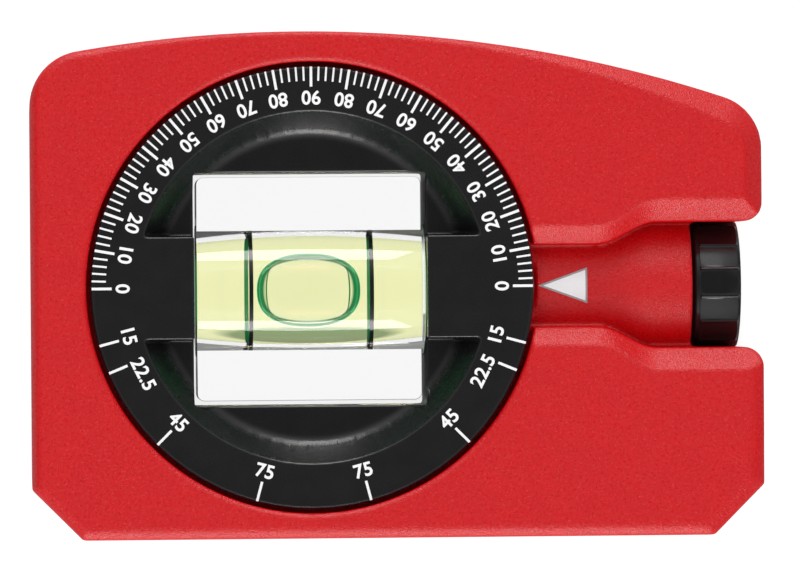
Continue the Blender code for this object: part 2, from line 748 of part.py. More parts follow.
def main():
    clear_scene()
    red_coat = finish("red_powder_coat", (0.61, 0.019, 0.028, 1), 0.45)
    black_plastic = finish("black_plastic", (0.011, 0.011, 0.012, 1), 0.38)
    gloss_black = finish("gloss_black_plastic", (0.009, 0.009, 0.010, 1), 0.25)
    nylon = finish("natural_nylon", (0.70, 0.68, 0.62, 1), 0.5)
    steel = finish("zinc_plated_steel", (0.62, 0.62, 0.60, 1), 0.3, metallic=1.0)
    nickel = finish("nickel_plated_magnet", (0.66, 0.64, 0.60, 1), 0.22, metallic=1.0)
    acrylic = finish("clear_acrylic", (0.95, 0.97, 0.96, 0.35), 0.05)
    spirit = finish("green_spirit", (0.76, 0.86, 0.42, 0.6), 0.05)
    line_black = finish("line_black", (0.02, 0.03, 0.02, 1), 0.4)

    lock_axis = empty("lock_axis", (0, DIAL_Y, MID_Z), turn=(0, math.pi / 2, 0))
    dial_axis = empty("dial_axis", (DIAL_X, DIAL_Y, MID_Z))
    vial_axis = empty("vial_axis", (0, -BLOCK_DROP, 0), turn=(0, math.pi / 2, 0))
    vial_axis.parent = dial_axis

    build_frame(lock_axis, red_coat)
    build_magnets(nickel)
    build_dial_front(dial_axis, black_plastic)
    build_dial_rear(dial_axis, black_plastic)
    build_dial_screws(dial_axis, steel)
    build_vial(vial_axis, acrylic, spirit)
    build_vial_lines(vial_axis, line_black)
    build_knob(lock_axis, gloss_black, steel)
    build_brake_shoe(lock_axis, nylon)


main()
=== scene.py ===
# %% [markdown]
# # A magnetic pocket level
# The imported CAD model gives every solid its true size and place. This notebook dresses it:
# the casting gets the soft edges and the grain of a powder coat, the dial gets its printed
# scale, and the vial gets glass that bends light. X runs along the magnetic base, Y towards
# the crowned top and Z out of the dial. Every length is in metres.

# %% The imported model
import math

import bmesh
import bpy
from mathutils import Matrix, Vector


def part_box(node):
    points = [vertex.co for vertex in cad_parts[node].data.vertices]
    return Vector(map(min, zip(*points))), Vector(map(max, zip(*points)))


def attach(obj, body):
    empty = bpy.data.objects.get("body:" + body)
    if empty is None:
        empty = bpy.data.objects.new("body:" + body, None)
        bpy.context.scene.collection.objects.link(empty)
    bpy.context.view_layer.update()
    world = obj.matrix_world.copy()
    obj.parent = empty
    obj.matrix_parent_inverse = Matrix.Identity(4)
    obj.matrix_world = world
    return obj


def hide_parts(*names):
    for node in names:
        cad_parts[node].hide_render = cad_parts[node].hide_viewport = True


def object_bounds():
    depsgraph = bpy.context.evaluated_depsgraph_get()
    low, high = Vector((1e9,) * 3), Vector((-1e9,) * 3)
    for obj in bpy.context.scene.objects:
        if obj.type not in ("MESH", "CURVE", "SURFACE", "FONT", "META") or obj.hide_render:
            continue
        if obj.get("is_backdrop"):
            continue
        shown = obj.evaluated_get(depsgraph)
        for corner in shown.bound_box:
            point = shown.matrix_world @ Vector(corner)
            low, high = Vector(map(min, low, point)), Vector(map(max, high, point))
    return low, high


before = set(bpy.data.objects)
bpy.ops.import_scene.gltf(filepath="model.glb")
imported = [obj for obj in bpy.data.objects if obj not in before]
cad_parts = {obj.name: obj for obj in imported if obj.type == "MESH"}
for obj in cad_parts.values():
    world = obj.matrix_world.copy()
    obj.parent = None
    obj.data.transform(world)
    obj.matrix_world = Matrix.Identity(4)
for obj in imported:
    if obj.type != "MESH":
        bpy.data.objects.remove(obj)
cad_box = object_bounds()
MM = 0.001

# %% [markdown]
# The main places are read from the CAD solids, so the dressing follows them if a size
# changes. The dial turns about an upright axis, and the lock screw lies along X.

# %% Places read from the frame
body_low, body_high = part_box("frame")
ring_low, ring_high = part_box("dial_front")
block_low, block_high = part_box("vial_block")
knob_low, knob_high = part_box("lock_knob")
face_z, ring_z = body_high.z, ring_high.z
dial_centre = (ring_low + ring_high) / 2
vial_centre = (block_low + block_high) / 2
middle_z = (body_low.z + body_high.z) / 2
lock_axis = Vector((0, dial_centre.y, middle_z))
print("dial centre", [round(v / MM, 2) for v in dial_centre], "ring face", round(ring_z / MM, 2))

# %% [markdown]
# A product photograph like this is taken from straight above with a long lens, so the sides
# hardly show. The camera stands a little to the left of the level, which lets the reading
# lines on the rear of the vial peep out beside those on its front.

# %% Camera
CAMERA_HEIGHT = 740 * MM
CAMERA_LEFT = 40 * MM
VIEW_WIDTH = 84.80 * MM
AIM = Vector((0.16 * MM, -0.50 * MM, face_z))
CAMERA_ROLL = math.radians(-0.45)

camera_data = bpy.data.cameras.new("camera")
camera_data.sensor_width = 36
camera_data.lens = camera_data.sensor_width * CAMERA_HEIGHT / VIEW_WIDTH
camera_data.clip_start = 10 * MM
camera = bpy.data.objects.new("camera", camera_data)
camera.location = AIM + Vector((-CAMERA_LEFT, 0, CAMERA_HEIGHT))
back = (camera.location - AIM).normalized()
right = Vector((0, 1, 0)).cross(back).normalized()
straight = Matrix((right, back.cross(right), back)).transposed()
camera.rotation_euler = (straight @ Matrix.Rotation(CAMERA_ROLL, 3, "Z")).to_euler()
bpy.context.scene.collection.objects.link(camera)
bpy.context.scene.camera = camera
bpy.context.scene.view_settings.view_transform = "Standard"
print("lens", round(camera_data.lens, 1), "mm")

# %% [markdown]
# Every finish is a small tree of nodes, and so are the light of the room and the repeats.
# Three short classes keep them readable: `Value` wraps a socket, so that a sum is written in
# plain Python and becomes Math nodes, `Tree` adds any other node in one call, and `Finish` is
# the tree of one material with its Principled shader.

# %% Node helpers
class Value:
    """A node's socket that takes part in plain Python sums."""

    def __init__(self, tree, socket):
        self.tree, self.socket = tree, socket

    def maths(self, operation, *terms):
        return self.tree.node("ShaderNodeMath", dict(enumerate(terms)), operation=operation)

    def __add__(self, other):
        return self.maths("ADD", self, other)

    def __sub__(self, other):
        return self.maths("SUBTRACT", self, other)

    def __rsub__(self, other):
        return self.maths("SUBTRACT", other, self)

    def __mul__(self, other):
        return self.maths("MULTIPLY", self, other)

    def __truediv__(self, other):
        return self.maths("DIVIDE", self, other)

    def __abs__(self):
        return self.maths("ABSOLUTE", self)


class Tree:
    """One way to add every node to a tree."""

    def __init__(self, tree):
        self.tree = tree

    def plug(self, socket, value):
        if isinstance(value, Value):
            self.tree.links.new(value.socket, socket)
        else:
            socket.default_value = value

    def add(self, kind, inputs=(), **settings):
        item = self.tree.nodes.new(kind)
        for name, value in settings.items():
            setattr(item, name, value)
        for socket, value in dict(inputs).items():
            self.plug(item.inputs[socket], value)
        return item

    def node(self, kind, inputs=(), output=0, **settings):
        return Value(self, self.add(kind, inputs, **settings).outputs[output])

    def parts(self, vector):
        """A vector's three numbers."""
        item = self.add("ShaderNodeSeparateXYZ", {"Vector": vector})
        return [Value(self, socket) for socket in item.outputs]

    def rays(self, *kinds):
        """For each kind of ray, 1 where the surface is seen by that kind."""
        item = self.add("ShaderNodeLightPath")
        return [Value(self, item.outputs[f"Is {kind} Ray"]) for kind in kinds]

    def between(self, value, low, high, start=0.0, end=1.0):
        """The value's stretch from low to high, laid over start to end."""
        inputs = {"Value": value, "From Min": low, "From Max": high, "To Min": start, "To Max": end}
        return self.node("ShaderNodeMapRange", inputs)


class Finish(Tree):
    """A material with its Principled shader."""

    def __init__(self, name, **constants):
        self.material = bpy.data.materials.new(name)
        self.material.use_nodes = True
        super().__init__(self.material.node_tree)
        self.shader = self.tree.nodes["Principled BSDF"]
        self.set(**constants)

    def set(self, **inputs):
        """Sets or links the Principled shader's sockets; base_color stands for Base Color."""
        for name, value in inputs.items():
            words = name.replace("ior", "IOR").split("_")
            label = " ".join(word if word == "IOR" else word.capitalize() for word in words)
            self.plug(self.shader.inputs[label], value)

    def noise(self, feature, detail):
        """Noise whose grains are about one feature size across."""
        place = self.node("ShaderNodeTexCoord", output="Object")
        inputs = {"Vector": place, "Scale": 1 / feature, "Detail": detail}
        return self.node("ShaderNodeTexNoise", inputs, "Fac")

    def colours(self, share, first, second):
        return self.node("ShaderNodeMix", {0: share, 6: first, 7: second}, 2, data_type="RGBA")

    def ends(self, label, value):
        """Links what the material ends in, where that isn't the Principled shader alone."""
        self.plug(self.tree.nodes["Material Output"].inputs[label], value)

    def bump(self, height, distance, strength):
        inputs = {"Height": height, "Distance": distance, "Strength": strength}
        self.set(normal=self.node("ShaderNodeBump", inputs))


def shade(red, green, blue):
    """A colour given in 0 to 255, as the linear colour that a shader takes."""
    return tuple(((c / 255 + 0.055) / 1.055) ** 2.4 for c in (red, green, blue)) + (1,)


# %% [markdown]
# Two long softboxes stand low on the base side and the crown side. Low light rakes the
# powder coat, brightens the sloped bands, and lays a white stripe along each flank of the
# vial, while the flat black faces stay dark because they mirror the dim room overhead. The
# power of an area lamp is its radiance times pi times its area.

# %% Softboxes
LAMP_DISTANCE, LAMP_MIDDLE = 0.60, 0.24
LAMP_WIDTH, LAMP_HEIGHT, LAMP_RADIANCE = 0.26, 0.40, 7.6
for name, side in (("crown_softbox", 1), ("base_softbox", -1)):
    lamp = bpy.data.lights.new(name, "AREA")
    lamp.shape, lamp.size, lamp.size_y = "RECTANGLE", LAMP_WIDTH, LAMP_HEIGHT
    lamp.energy = LAMP_RADIANCE * math.pi * LAMP_WIDTH * LAMP_HEIGHT
    softbox = bpy.data.objects.new(name, lamp)
    softbox.location = (0, side * LAMP_DISTANCE, LAMP_MIDDLE)
    inward = Vector((0, -side * LAMP_DISTANCE, 0))
    softbox.rotation_euler = inward.to_track_quat("-Z", "Z").to_euler()
    softbox.visible_camera = False
    bpy.context.scene.collection.objects.link(softbox)

# %% [markdown]
# The room is drawn by the world's nodes. Surfaces see a white sky, dimmer low down, far to
# the left and right and, in mirrors, straight overhead. What is seen through the vial is a
# light table under it, dimmer past its far edge, and a faint wall beyond its near edge. Clear
# plastic is only visible by such edges: the rays that it bends most land in the dark and draw
# the vial's lines. `lean_x` and `lean_y` say how far a ray gets sideways for each step down.

# %% Room
SKY, SKY_AT_FLOOR, SKY_OVERHEAD, SKY_AT_SIDES = 1.0, 0.60, 0.12, 0.25
TABLE, BEYOND_TABLE, WALL, OVER_TABLE = 0.98, 0.32, 0.12, 0.6
TABLE_FAR, TABLE_NEAR, WALL_EDGE = (0.245, 0.275), (-0.85, -0.38), (-0.95, -0.5)
TABLE_SIDE, TABLE_MIDDLE, LEAST_DOWN = (0.28, 0.42), 0.05, 0.05
HORIZON, SKY_RISE, OVERHEAD, FAR_SIDES = (-0.1, 0.1), (-0.05, 0.35), (0.70, 0.95), (0.25, 0.85)
room = bpy.data.worlds.new("room")
bpy.context.scene.world = room
room.use_nodes = True
light = Tree(room.node_tree)
direct, bent, mirrored = light.rays("Camera", "Transmission", "Glossy")
across, ahead, up = light.parts(light.node("ShaderNodeTexCoord", output="Generated"))
down = up.maths("MAXIMUM", up * -1, LEAST_DOWN)
lean_x, lean_y = across / down, ahead / down
table = light.between(lean_y, *TABLE_FAR, TABLE, BEYOND_TABLE) * light.between(lean_y, *TABLE_NEAR)
table = table * light.between(abs(lean_x - TABLE_MIDDLE), *TABLE_SIDE, 1, 0)
wall = light.between(lean_y, *WALL_EDGE, WALL, 0.0)
above = light.between(up, *HORIZON)
through = (table + wall) * (1 - above) + above * OVER_TABLE
overhead = light.between(up, *OVERHEAD, 0, 1 - SKY_OVERHEAD)
sky = light.between(up, *SKY_RISE, SKY_AT_FLOOR, SKY) * (1 - mirrored * overhead)
sky = sky * light.between(abs(across), *FAR_SIDES, 1, SKY_AT_SIDES)
background = room.node_tree.nodes["Background"]
light.plug(background.inputs["Color"], (1, 1, 1, 1))
strength = direct + (1 - direct) * (bent * through + (1 - bent) * sky)
light.plug(background.inputs["Strength"], strength)
print("room:", len(room.node_tree.nodes), "nodes")

# %% [markdown]
# The floor is white paper. Lamps alone can't make it pure white without washing out the
# object, so it also glows a little for the camera and for mirroring metal, and still takes
# the object's shadow. It is hidden from rays that come through the vial, which see the light
# table instead.

# %% Paper floor
PAPER_GREY, GLOW_DIRECT, GLOW_MIRRORED = 0.45, 0.78, 0.15
FLOOR_HALF, FLOOR_GAP = 2.0, 0.05 * MM
paper = Finish("paper", base_color=(PAPER_GREY, PAPER_GREY, PAPER_GREY, 1), roughness=0.9)
direct, mirrored = paper.rays("Camera", "Glossy")
glow = direct * GLOW_DIRECT + mirrored * GLOW_MIRRORED
glow = paper.node("ShaderNodeEmission", {"Strength": glow})
lit = Value(paper, paper.shader.outputs[0])
paper.ends("Surface", paper.node("ShaderNodeAddShader", {0: lit, 1: glow}))
bm = bmesh.new()
bmesh.ops.create_grid(bm, x_segments=1, y_segments=1, size=FLOOR_HALF)
bmesh.ops.translate(bm, verts=bm.verts, vec=(0, 0, body_low.z - FLOOR_GAP))
floor_mesh = bpy.data.meshes.new("floor")
bm.to_mesh(floor_mesh)
floor_mesh.materials.append(paper.material)
floor = bpy.data.objects.new("floor", floor_mesh)
floor.visible_transmission = False
bpy.context.scene.collection.objects.link(floor)
floor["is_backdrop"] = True
print("floor at", round((body_low.z - FLOOR_GAP) / MM, 2), "mm")

# %% [markdown]
# ## Finishes
# The casting is sprayed with powder that melts into a fine orange peel with tiny glints.
# Two sizes of noise bend the surface normal and speckle the colour, a slow one clouds it, and
# a fourth puts painted glints, pale pink specks, into the colour, so the softboxes break up
# into grain on the sloped faces.

# %% Red powder coat
coat = Finish("red_powder_coat", ior=1.47)
peel = coat.noise(0.34 * MM, 3.0)
grain = coat.noise(0.13 * MM, 2.0)
cloud = coat.noise(3.0 * MM, 3.0)
fleck = coat.between(peel * 0.5 + grain * 0.5, 0.34, 0.66)
colour = coat.colours(fleck, shade(195, 2, 9), shade(219, 8, 19))
colour = coat.colours(coat.between(cloud, 0.35, 0.65, 0.0, 0.35), colour, shade(199, 11, 22))
# Painted glints: pale pink specks in the base colour stand in for light caught by the coat.
painted_glint_noise = coat.noise(0.21 * MM, 1.0)
colour = coat.colours(coat.between(painted_glint_noise, 0.64, 0.76, 0.0, 0.35), colour, shade(238, 90, 94))
coat.set(base_color=colour, roughness=coat.between(peel, 0.3, 0.7, 0.25, 0.38))
coat.bump(peel * 0.6 + grain * 0.7, 0.15 * MM, 0.65)
print(coat.material.name, len(coat.tree.nodes), "nodes")

# %% [markdown]
# The dial is moulded in black plastic with a fine satin texture. The knob is the same kind of
# plastic from a polished mould, so its ridges mirror the softboxes. Most of the other finishes
# need one noise only, which moves the colour, the roughness and the relief together.

# %% Black plastics
def mottled(name, feature, detail, first, second, rough=None, relief=None, **constants):
    """A finish whose colour, roughness and relief follow one noise."""
    finish = Finish(name, **constants)
    noise = finish.noise(feature, detail)
    finish.set(base_color=finish.colours(noise, first, second))
    if rough:
        finish.set(roughness=finish.between(noise, 0.3, 0.7, *rough))
    if relief:
        finish.bump(noise, *relief)
    return finish


satin = Finish("satin_black_plastic", ior=1.48)
texture = satin.noise(0.10 * MM, 2.0)
patches = satin.between(satin.noise(2.5 * MM, 2.0), 0.3, 0.7)
satin.set(
    base_color=satin.colours(patches, shade(23, 23, 25), shade(27, 27, 29)),
    roughness=satin.between(texture, 0.3, 0.7, 0.24, 0.34),
)
satin.bump(texture, 0.010 * MM, 0.5)
gloss = mottled(
    "gloss_black_plastic", 1.2 * MM, 3.0, shade(20, 20, 22), shade(25, 25, 27),
    rough=(0.16, 0.26), relief=(0.010 * MM, 0.3), ior=1.52,
)
print(satin.material.name, gloss.material.name)

# %% [markdown]
# Pad-printed ink is thin and slightly chalky. White ink makes the scale and the pointer, grey
# ink shows at the pointer's border, and the vial's reading lines are black.

# %% Inks
def ink(name, first, second):
    return mottled(name, 0.25 * MM, 2.0, first, second, relief=(0.004 * MM, 0.4), roughness=0.5)


white_ink = ink("white_ink", shade(243, 243, 245), shade(252, 252, 253))
grey_ink = ink("grey_ink", shade(150, 148, 150), shade(166, 164, 166))
black_ink = ink("black_ink", shade(20, 22, 20), shade(27, 30, 27))
black_ink.set(roughness=0.12)
print(white_ink.material.name, grey_ink.material.name, black_ink.material.name)

# %% [markdown]
# Metals get their colour from reflections: bright nickel on the magnets, duller zinc on the
# screws, with a faint mottle of colour, roughness and relief on both. The brake shoe is natural
# nylon.

# %% Metals and nylon
def plated(name, tint, rough):
    worn = tuple(0.9 * c for c in tint[:3]) + (1,)
    return mottled(name, 0.5 * MM, 4.0, tint, worn, rough, relief=(0.006 * MM, 0.3), metallic=1.0)


nickel = plated("nickel_plate", (0.66, 0.64, 0.60, 1), (0.16, 0.28))
zinc = plated("zinc_plate", (0.62, 0.62, 0.60, 1), (0.26, 0.40))
nylon = mottled(
    "natural_nylon", 0.8 * MM, 2.0, (0.66, 0.64, 0.58, 1), (0.74, 0.72, 0.66, 1),
    rough=(0.42, 0.55), subsurface_weight=0.1,
)
print(nickel.material.name, zinc.material.name, nylon.material.name)

# %% [markdown]
# The vial is real glass to the renderer. Each surface carries the ratio of the two media
# that it parts: 1.49 for acrylic against air, 1.49 / 1.36 for acrylic against spirit, and
# 1.36 for spirit against the air in the bubble. The dye in the spirit is fluorescent: over a
# white ground it looks pale yellow, but over black it glows green. A tinted skin gives the
# yellow. Inside it a thin volume takes away as much green as it gives back as a painted glow,
# a steady green emission that shines whatever light falls on it. So white stays white, and
# the dark rims of the bubble turn green from this painted glow.

# %% Clear finishes
def clear(name, ior, feature, first, second, detail=1.0):
    """A clear finish with a faint tint."""
    constants = {"roughness": 0.0, "ior": ior, "transmission_weight": 1.0}
    return mottled(name, feature, detail, first, second, **constants)


ACRYLIC, SPIRIT, HAZE = 1.49, 1.36, 4.0 * MM
acrylic = clear("clear_acrylic", ACRYLIC, HAZE, (0.985, 0.99, 0.985, 1), (0.995, 0.998, 0.995, 1))
wet_bore = clear("wet_bore", ACRYLIC / SPIRIT, HAZE, (0.99, 1.0, 0.98, 1), (1, 1, 1, 1))
spirit = clear("green_spirit", 1.0, 6.0 * MM, (0.93, 0.945, 0.57, 1), (0.935, 0.955, 0.60, 1))
bubble_wall = clear("bubble_wall", SPIRIT, HAZE, (0.98, 0.99, 0.97, 1), (1, 1, 1, 1))

# The second number is the strength of the spirit's painted green glow.
DYE_DENSITY, PAINTED_GREEN_GLOW = 31.0, 26.0
dye = {"Color": (0.95, 0.02, 0.06, 1), "Density": DYE_DENSITY}
dye = spirit.node("ShaderNodeVolumeAbsorption", dye)
# Painted glow: a steady green emission in the spirit, partly the dye's real fluorescence and partly
# light painted in to turn the bubble's rims green.
glow = spirit.node("ShaderNodeEmission", {"Color": (0.04, 1.0, 0.37, 1), "Strength": PAINTED_GREEN_GLOW})
spirit.ends("Volume", spirit.node("ShaderNodeAddShader", {0: dye, 1: glow}))
print("refraction steps", ACRYLIC, round(ACRYLIC / SPIRIT, 4), SPIRIT)

# %% [markdown]
# ## Casting
# The body is a die casting, and nearly all that is seen of it is its outline and the sloped
# bands along it. So it is drawn as an outer and an inner outline and lofted between them.
# A die casting has no sharp edge either: the powder fills what the mould's corners leave. The
# finished solid gets a new skin of even small squares, which a few rounds of smoothing pull
# in at every edge and fill at every inner corner, while flat faces stay where they are.

# %% Helpers for solids
def linked(name, bm):
    """A new object from a bmesh, at the origin."""
    mesh = bpy.data.meshes.new(name)
    bm.to_mesh(mesh)
    bm.free()
    item = bpy.data.objects.new(name, mesh)
    bpy.context.scene.collection.objects.link(item)
    return item


def baked(item):
    """The object with its modifiers turned into plain mesh."""
    evaluated = item.evaluated_get(bpy.context.evaluated_depsgraph_get())
    mesh = bpy.data.meshes.new_from_object(evaluated)
    item.modifiers.clear()
    item.data = mesh
    return item


def cad_copy(name, node):
    """A joined-up copy of a CAD node's loose triangles."""
    bm = bmesh.new()
    bm.from_mesh(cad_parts[node].data)
    bmesh.ops.remove_doubles(bm, verts=bm.verts, dist=0.0001 * MM)
    return linked(name, bm)


def lathe(profile, steps):
    """A closed profile of (radius, height) points turned about Z."""
    bm = bmesh.new()
    verts = [bm.verts.new((radius, 0, height)) for radius, height in profile]
    edges = [bm.edges.new(pair) for pair in zip(verts, verts[1:])]
    bmesh.ops.spin(
        bm, geom=verts + edges, axis=(0, 0, 1), cent=(0, 0, 0), angle=2 * math.pi, steps=steps
    )
    bmesh.ops.remove_doubles(bm, verts=bm.verts, dist=0.0001 * MM)
    bmesh.ops.recalc_face_normals(bm, faces=bm.faces)
    return bm


def rod(radius, start, end):
    """The profile of a plain round rod."""
    return [(0, start), (radius, start), (radius, end), (0, end)]


def lofted(loops):
    """A closed solid through rings of as many points each."""
    bm = bmesh.new()
    rings = [[bm.verts.new(point) for point in loop] for loop in loops]
    for lower, upper in zip(rings, rings[1:]):
        for i in range(len(lower)):
            j = (i + 1) % len(lower)
            bm.faces.new((lower[i], lower[j], upper[j], upper[i]))
    bm.faces.new(rings[0])
    bm.faces.new(rings[-1])
    bmesh.ops.recalc_face_normals(bm, faces=bm.faces)
    return bm


def put(bm, place, turn=None):
    """Turns a bmesh about the origin and moves it to its place."""
    matrix = Matrix.Translation(place) @ (turn.to_4x4() if turn else Matrix())
    bmesh.ops.transform(bm, verts=bm.verts, matrix=matrix)
    return bm


def brick(low, high):
    """A box between two corners."""
    bm = bmesh.new()
    bmesh.ops.create_cube(bm, size=1)
    bmesh.ops.scale(bm, verts=bm.verts, vec=Vector(high) - Vector(low))
    return put(bm, (Vector(low) + Vector(high)) / 2)


def combine(item, operation, bm):
    """Joins or cuts the object with a shape, and bakes the result."""
    shape = linked("shape", bm)
    step = item.modifiers.new("step", "BOOLEAN")
    step.operation, step.solver, step.object = operation, "EXACT", shape
    baked(item)
    bpy.data.objects.remove(shape, do_unlink=True)


def cut(item, bm):
    combine(item, "DIFFERENCE", bm)


def join(item, other):
    """Puts a second object's mesh into the first, as it is."""
    bm = bmesh.new()
    bm.from_mesh(item.data)
    bm.from_mesh(other.data)
    bm.to_mesh(item.data)
    bm.free()
    bpy.data.objects.remove(other, do_unlink=True)


def soften(item, cell, rounds, budget):
    """An even skin of small squares, smoothed, then thinned to a budget of faces."""
    skin = item.modifiers.new("even skin", "REMESH")
    skin.mode, skin.voxel_size = "VOXEL", cell
    smooth = item.modifiers.new("soft edges", "SMOOTH")
    smooth.factor, smooth.iterations = 0.5, rounds
    baked(item)
    thin = item.modifiers.new("thin", "DECIMATE")
    thin.ratio = min(1.0, budget / (2 * len(item.data.polygons)))
    return baked(item)


def dress(item, finish, body, slot, *nodes, crease=None):
    """Gives a piece its finish, its body and the CAD nodes it stands for; the slot is not used."""
    mesh = item.data
    mesh.materials.clear()
    finishes = finish if isinstance(finish, list) else [finish]
    for each in finishes:
        mesh.materials.append(each.material)
    if len(finishes) > 1:
        inner = mesh.attributes["inner"].data
        mesh.polygons.foreach_set("material_index", [int(face.value) for face in inner])
    mesh.shade_smooth()
    if crease:
        mesh.set_sharp_from_angle(angle=math.radians(crease))
    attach(item, body)
    if nodes:
        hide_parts(*nodes)
    print(item.name, len(mesh.polygons), "faces on", body)
    return item


# %% [markdown]
# Both outlines have the same number of points. Every point of the inner one lies further in
# by the width of the band there, and the band's depth is given point by point, so one loft
# holds flat bevels, a soft roll along the base and a steep one on the left.

# %% Outlines of the casting
LEFT, RIGHT, BASE, CROWN = body_low.x, body_high.x, body_low.y, body_high.y
CORNER_CUT, CROWN_STEPS, SHOULDER_STEPS = 5.4 * MM, 32, 12
CROWN_MIDDLE = dial_centre.x - 1.0 * MM
SHOULDER_LEFT, SHOULDER_RIGHT = 6.0 * MM, 5.7 * MM
CROWN_OUTER, CROWN_INNER = 145.1 * MM, 110 * MM


def arc(centre, radius, start, end, steps):
    turns = [start + (end - start) * i / steps for i in range(steps + 1)]
    return [centre + radius * Vector((math.cos(t), math.sin(t))) for t in turns]


def body_outline(crown_radius, left=0, right=0, low_right=0, base=0, cuts=(0, 0), top=0):
    """The casting's outline, with each side drawn in by its own inset."""
    crown = Vector((CROWN_MIDDLE, CROWN - top - crown_radius))
    arcs = []
    for x, inward, radius in (
        (RIGHT - right, -1, SHOULDER_RIGHT - right), (LEFT + left, 1, SHOULDER_LEFT - left)
    ):
        reach, over = crown_radius - radius, x + inward * radius - crown.x
        centre = crown + Vector((over, math.sqrt(reach**2 - over**2)))
        arcs.append((centre, radius, math.atan2(centre.y - crown.y, over)))
    (c1, r1, turn1), (c2, r2, turn2) = arcs
    left_reach, right_reach = (CORNER_CUT + cut * math.sqrt(2) for cut in cuts)
    points = [
        (LEFT + left_reach - base, BASE + base),
        (RIGHT - right_reach + base, BASE + base),
        (RIGHT - low_right, BASE + right_reach - low_right),
        (RIGHT - low_right, dial_centre.y - 2 * MM),
        (RIGHT - right, dial_centre.y + 2 * MM),
    ]
    points += arc(c1, r1, 0, turn1, SHOULDER_STEPS)
    points += arc(crown, crown_radius, turn1, turn2, CROWN_STEPS)[1:-1]
    points += arc(c2, r2, turn2, math.pi, SHOULDER_STEPS)
    return [Vector(p) for p in points] + [Vector((LEFT + left, BASE + left_reach - left))]


sides = body_outline(CROWN_OUTER)
inner = body_outline(
    CROWN_INNER, left=1.05 * MM, right=2.0 * MM, low_right=1.9 * MM, base=1.35 * MM,
    cuts=(1.15 * MM, 2.1 * MM), top=0.15 * MM,
)
SLOPE, SHALLOWEST, LEFT_DEPTH, ROLL_LOOPS = 0.78, 0.4, 1.1, 6
DEPTHS = {0: 0.75, 1: 0.8, 2: 1.0, 3: 0.5, 4: 1.5, len(sides) - 1: LEFT_DEPTH}
crown_end = 5 + SHOULDER_STEPS + CROWN_STEPS
slopes = []
for i, (outer, near) in enumerate(zip(sides, inner)):
    depth = DEPTHS.get(i, max(SHALLOWEST, SLOPE * (outer - near).length / MM)) * MM
    # On the left shoulder the band deepens step by step until it is as deep as on the left side.
    depth = max(depth, LEFT_DEPTH * MM * (i - crown_end) / (SHOULDER_STEPS + 1))
    slopes.append((outer, near, depth, 4 <= i < crown_end))


def body_loop(share, side):
    """One loop of the band; share 0 is at the upright side and 1 at the face."""
    loop = []
    for outer, near, depth, flat in slopes:
        rise = share if flat else 1 - (1 - share) ** 2
        height = face_z / 2 - depth * (1 - rise)
        loop.append((*outer.lerp(near, share), middle_z + side * height))
    return loop


shares = [i / ROLL_LOOPS for i in range(ROLL_LOOPS + 1)]
loops = [body_loop(share, -1) for share in reversed(shares)]
loops += [body_loop(share, 1) for share in shares]
casting = linked("casting", lofted(loops))
print(len(sides), "points round the casting")

# %% [markdown]
# Then everything is cut into it in the order a machinist would name: the neck's recess on
# both faces, the notch for the knob, the stepped bore, the groove with its magnet pockets and
# the hole of the lock screw. The barrel boss is a turned profile that is laid in at the end.

# %% Neck, notch, bore and groove
BORE_RADIUS, LEDGE_RADIUS, LEDGE_DROP, LIP = 24.0 * MM, 22.0 * MM, 3.1 * MM, 0.35 * MM
LEDGE_Z = ring_z - face_z / 2 - LEDGE_DROP
NECK_START, NECK_LENGTH = dial_centre.x + BORE_RADIUS, 16.2 * MM
RECESS_START, BOSS_START = NECK_START - 4 * MM, NECK_START - 2 * MM
KNOB_OUT, KNOB_GAP, KNOB_RADIUS = 0.5 * MM, 0.3 * MM, (knob_high.y - knob_low.y) / 2
NOTCH_X = NECK_START + NECK_LENGTH + KNOB_OUT
BOSS_NEAR, BOSS_FAR, BOSS_HOLE = 7.0 * MM, 7.9 * MM, 2.65 * MM
FLARE_START, FLARE_END, FLARE_STEPS = 0.39, 0.80, 24
RECESS_NEAR, RECESS_FAR, RECESS_DEPTH = 6.35 * MM, 9.1 * MM, 6.5 * MM
WALL_NEAR, WALL_FAR = 1.95 * MM, 2.4 * MM
NOTCH_HALF, MOUTH_RADIUS = 6.7 * MM, 2.0 * MM
GROOVE_HALF, GROOVE_DEPTH, POCKET_GAP = 5.4 * MM, 2.2 * MM, 0.1 * MM
OVER = 1 * MM
along_x = Matrix.Rotation(math.pi / 2, 3, "Y")
into_body = Matrix.Rotation(-math.pi / 2, 3, "X")
FLARE = []
for step in range(FLARE_STEPS + 1):
    share = FLARE_START + (FLARE_END - FLARE_START) * step / FLARE_STEPS
    wide = 0.5 - 0.5 * math.cos(math.pi * step / FLARE_STEPS)
    FLARE.append((wide, NECK_START + NECK_LENGTH * share))


def recess(side):
    """The neck's recess: sloped walls like the bands, then a steep drop beside the boss."""
    loops = [[], [], [], []]
    for wide, x in [(0, RECESS_START)] + FLARE + [(1, RIGHT + OVER)]:
        wall = WALL_NEAR + (WALL_FAR - WALL_NEAR) * wide
        edge = RECESS_NEAR + (RECESS_FAR - RECESS_NEAR) * wide
        foot = edge - wall
        section = (edge, -OVER), (edge, 0), (foot, wall * SLOPE), (foot, RECESS_DEPTH)
        for loop, (half, drop) in zip(loops, section):
            loop.append((x, half, side * (face_z / 2 - drop)))
    loops = [loop + [(x, -y, z) for x, y, z in reversed(loop)] for loop in loops]
    return put(lofted(loops), lock_axis)


for side in (1, -1):
    cut(casting, recess(side))

centre = Vector((RIGHT - MOUTH_RADIUS, NOTCH_HALF + MOUTH_RADIUS))
upper = [Vector((NOTCH_X, NOTCH_HALF))] + arc(centre, MOUTH_RADIUS, -math.pi / 2, 0, 10)
upper.append(Vector((RIGHT + OVER, centre.y)))
ring = upper + [Vector((p.x, -p.y)) for p in reversed(upper)]
cut(casting, put(lofted([[(*p, z) for p in ring] for z in (-face_z, face_z)]), lock_axis))
for radius, start in ((KNOB_RADIUS + KNOB_GAP, NOTCH_X), (BOSS_HOLE, dial_centre.x)):
    cut(casting, put(lathe(rod(radius, start, RIGHT + OVER), 96), lock_axis, along_x))

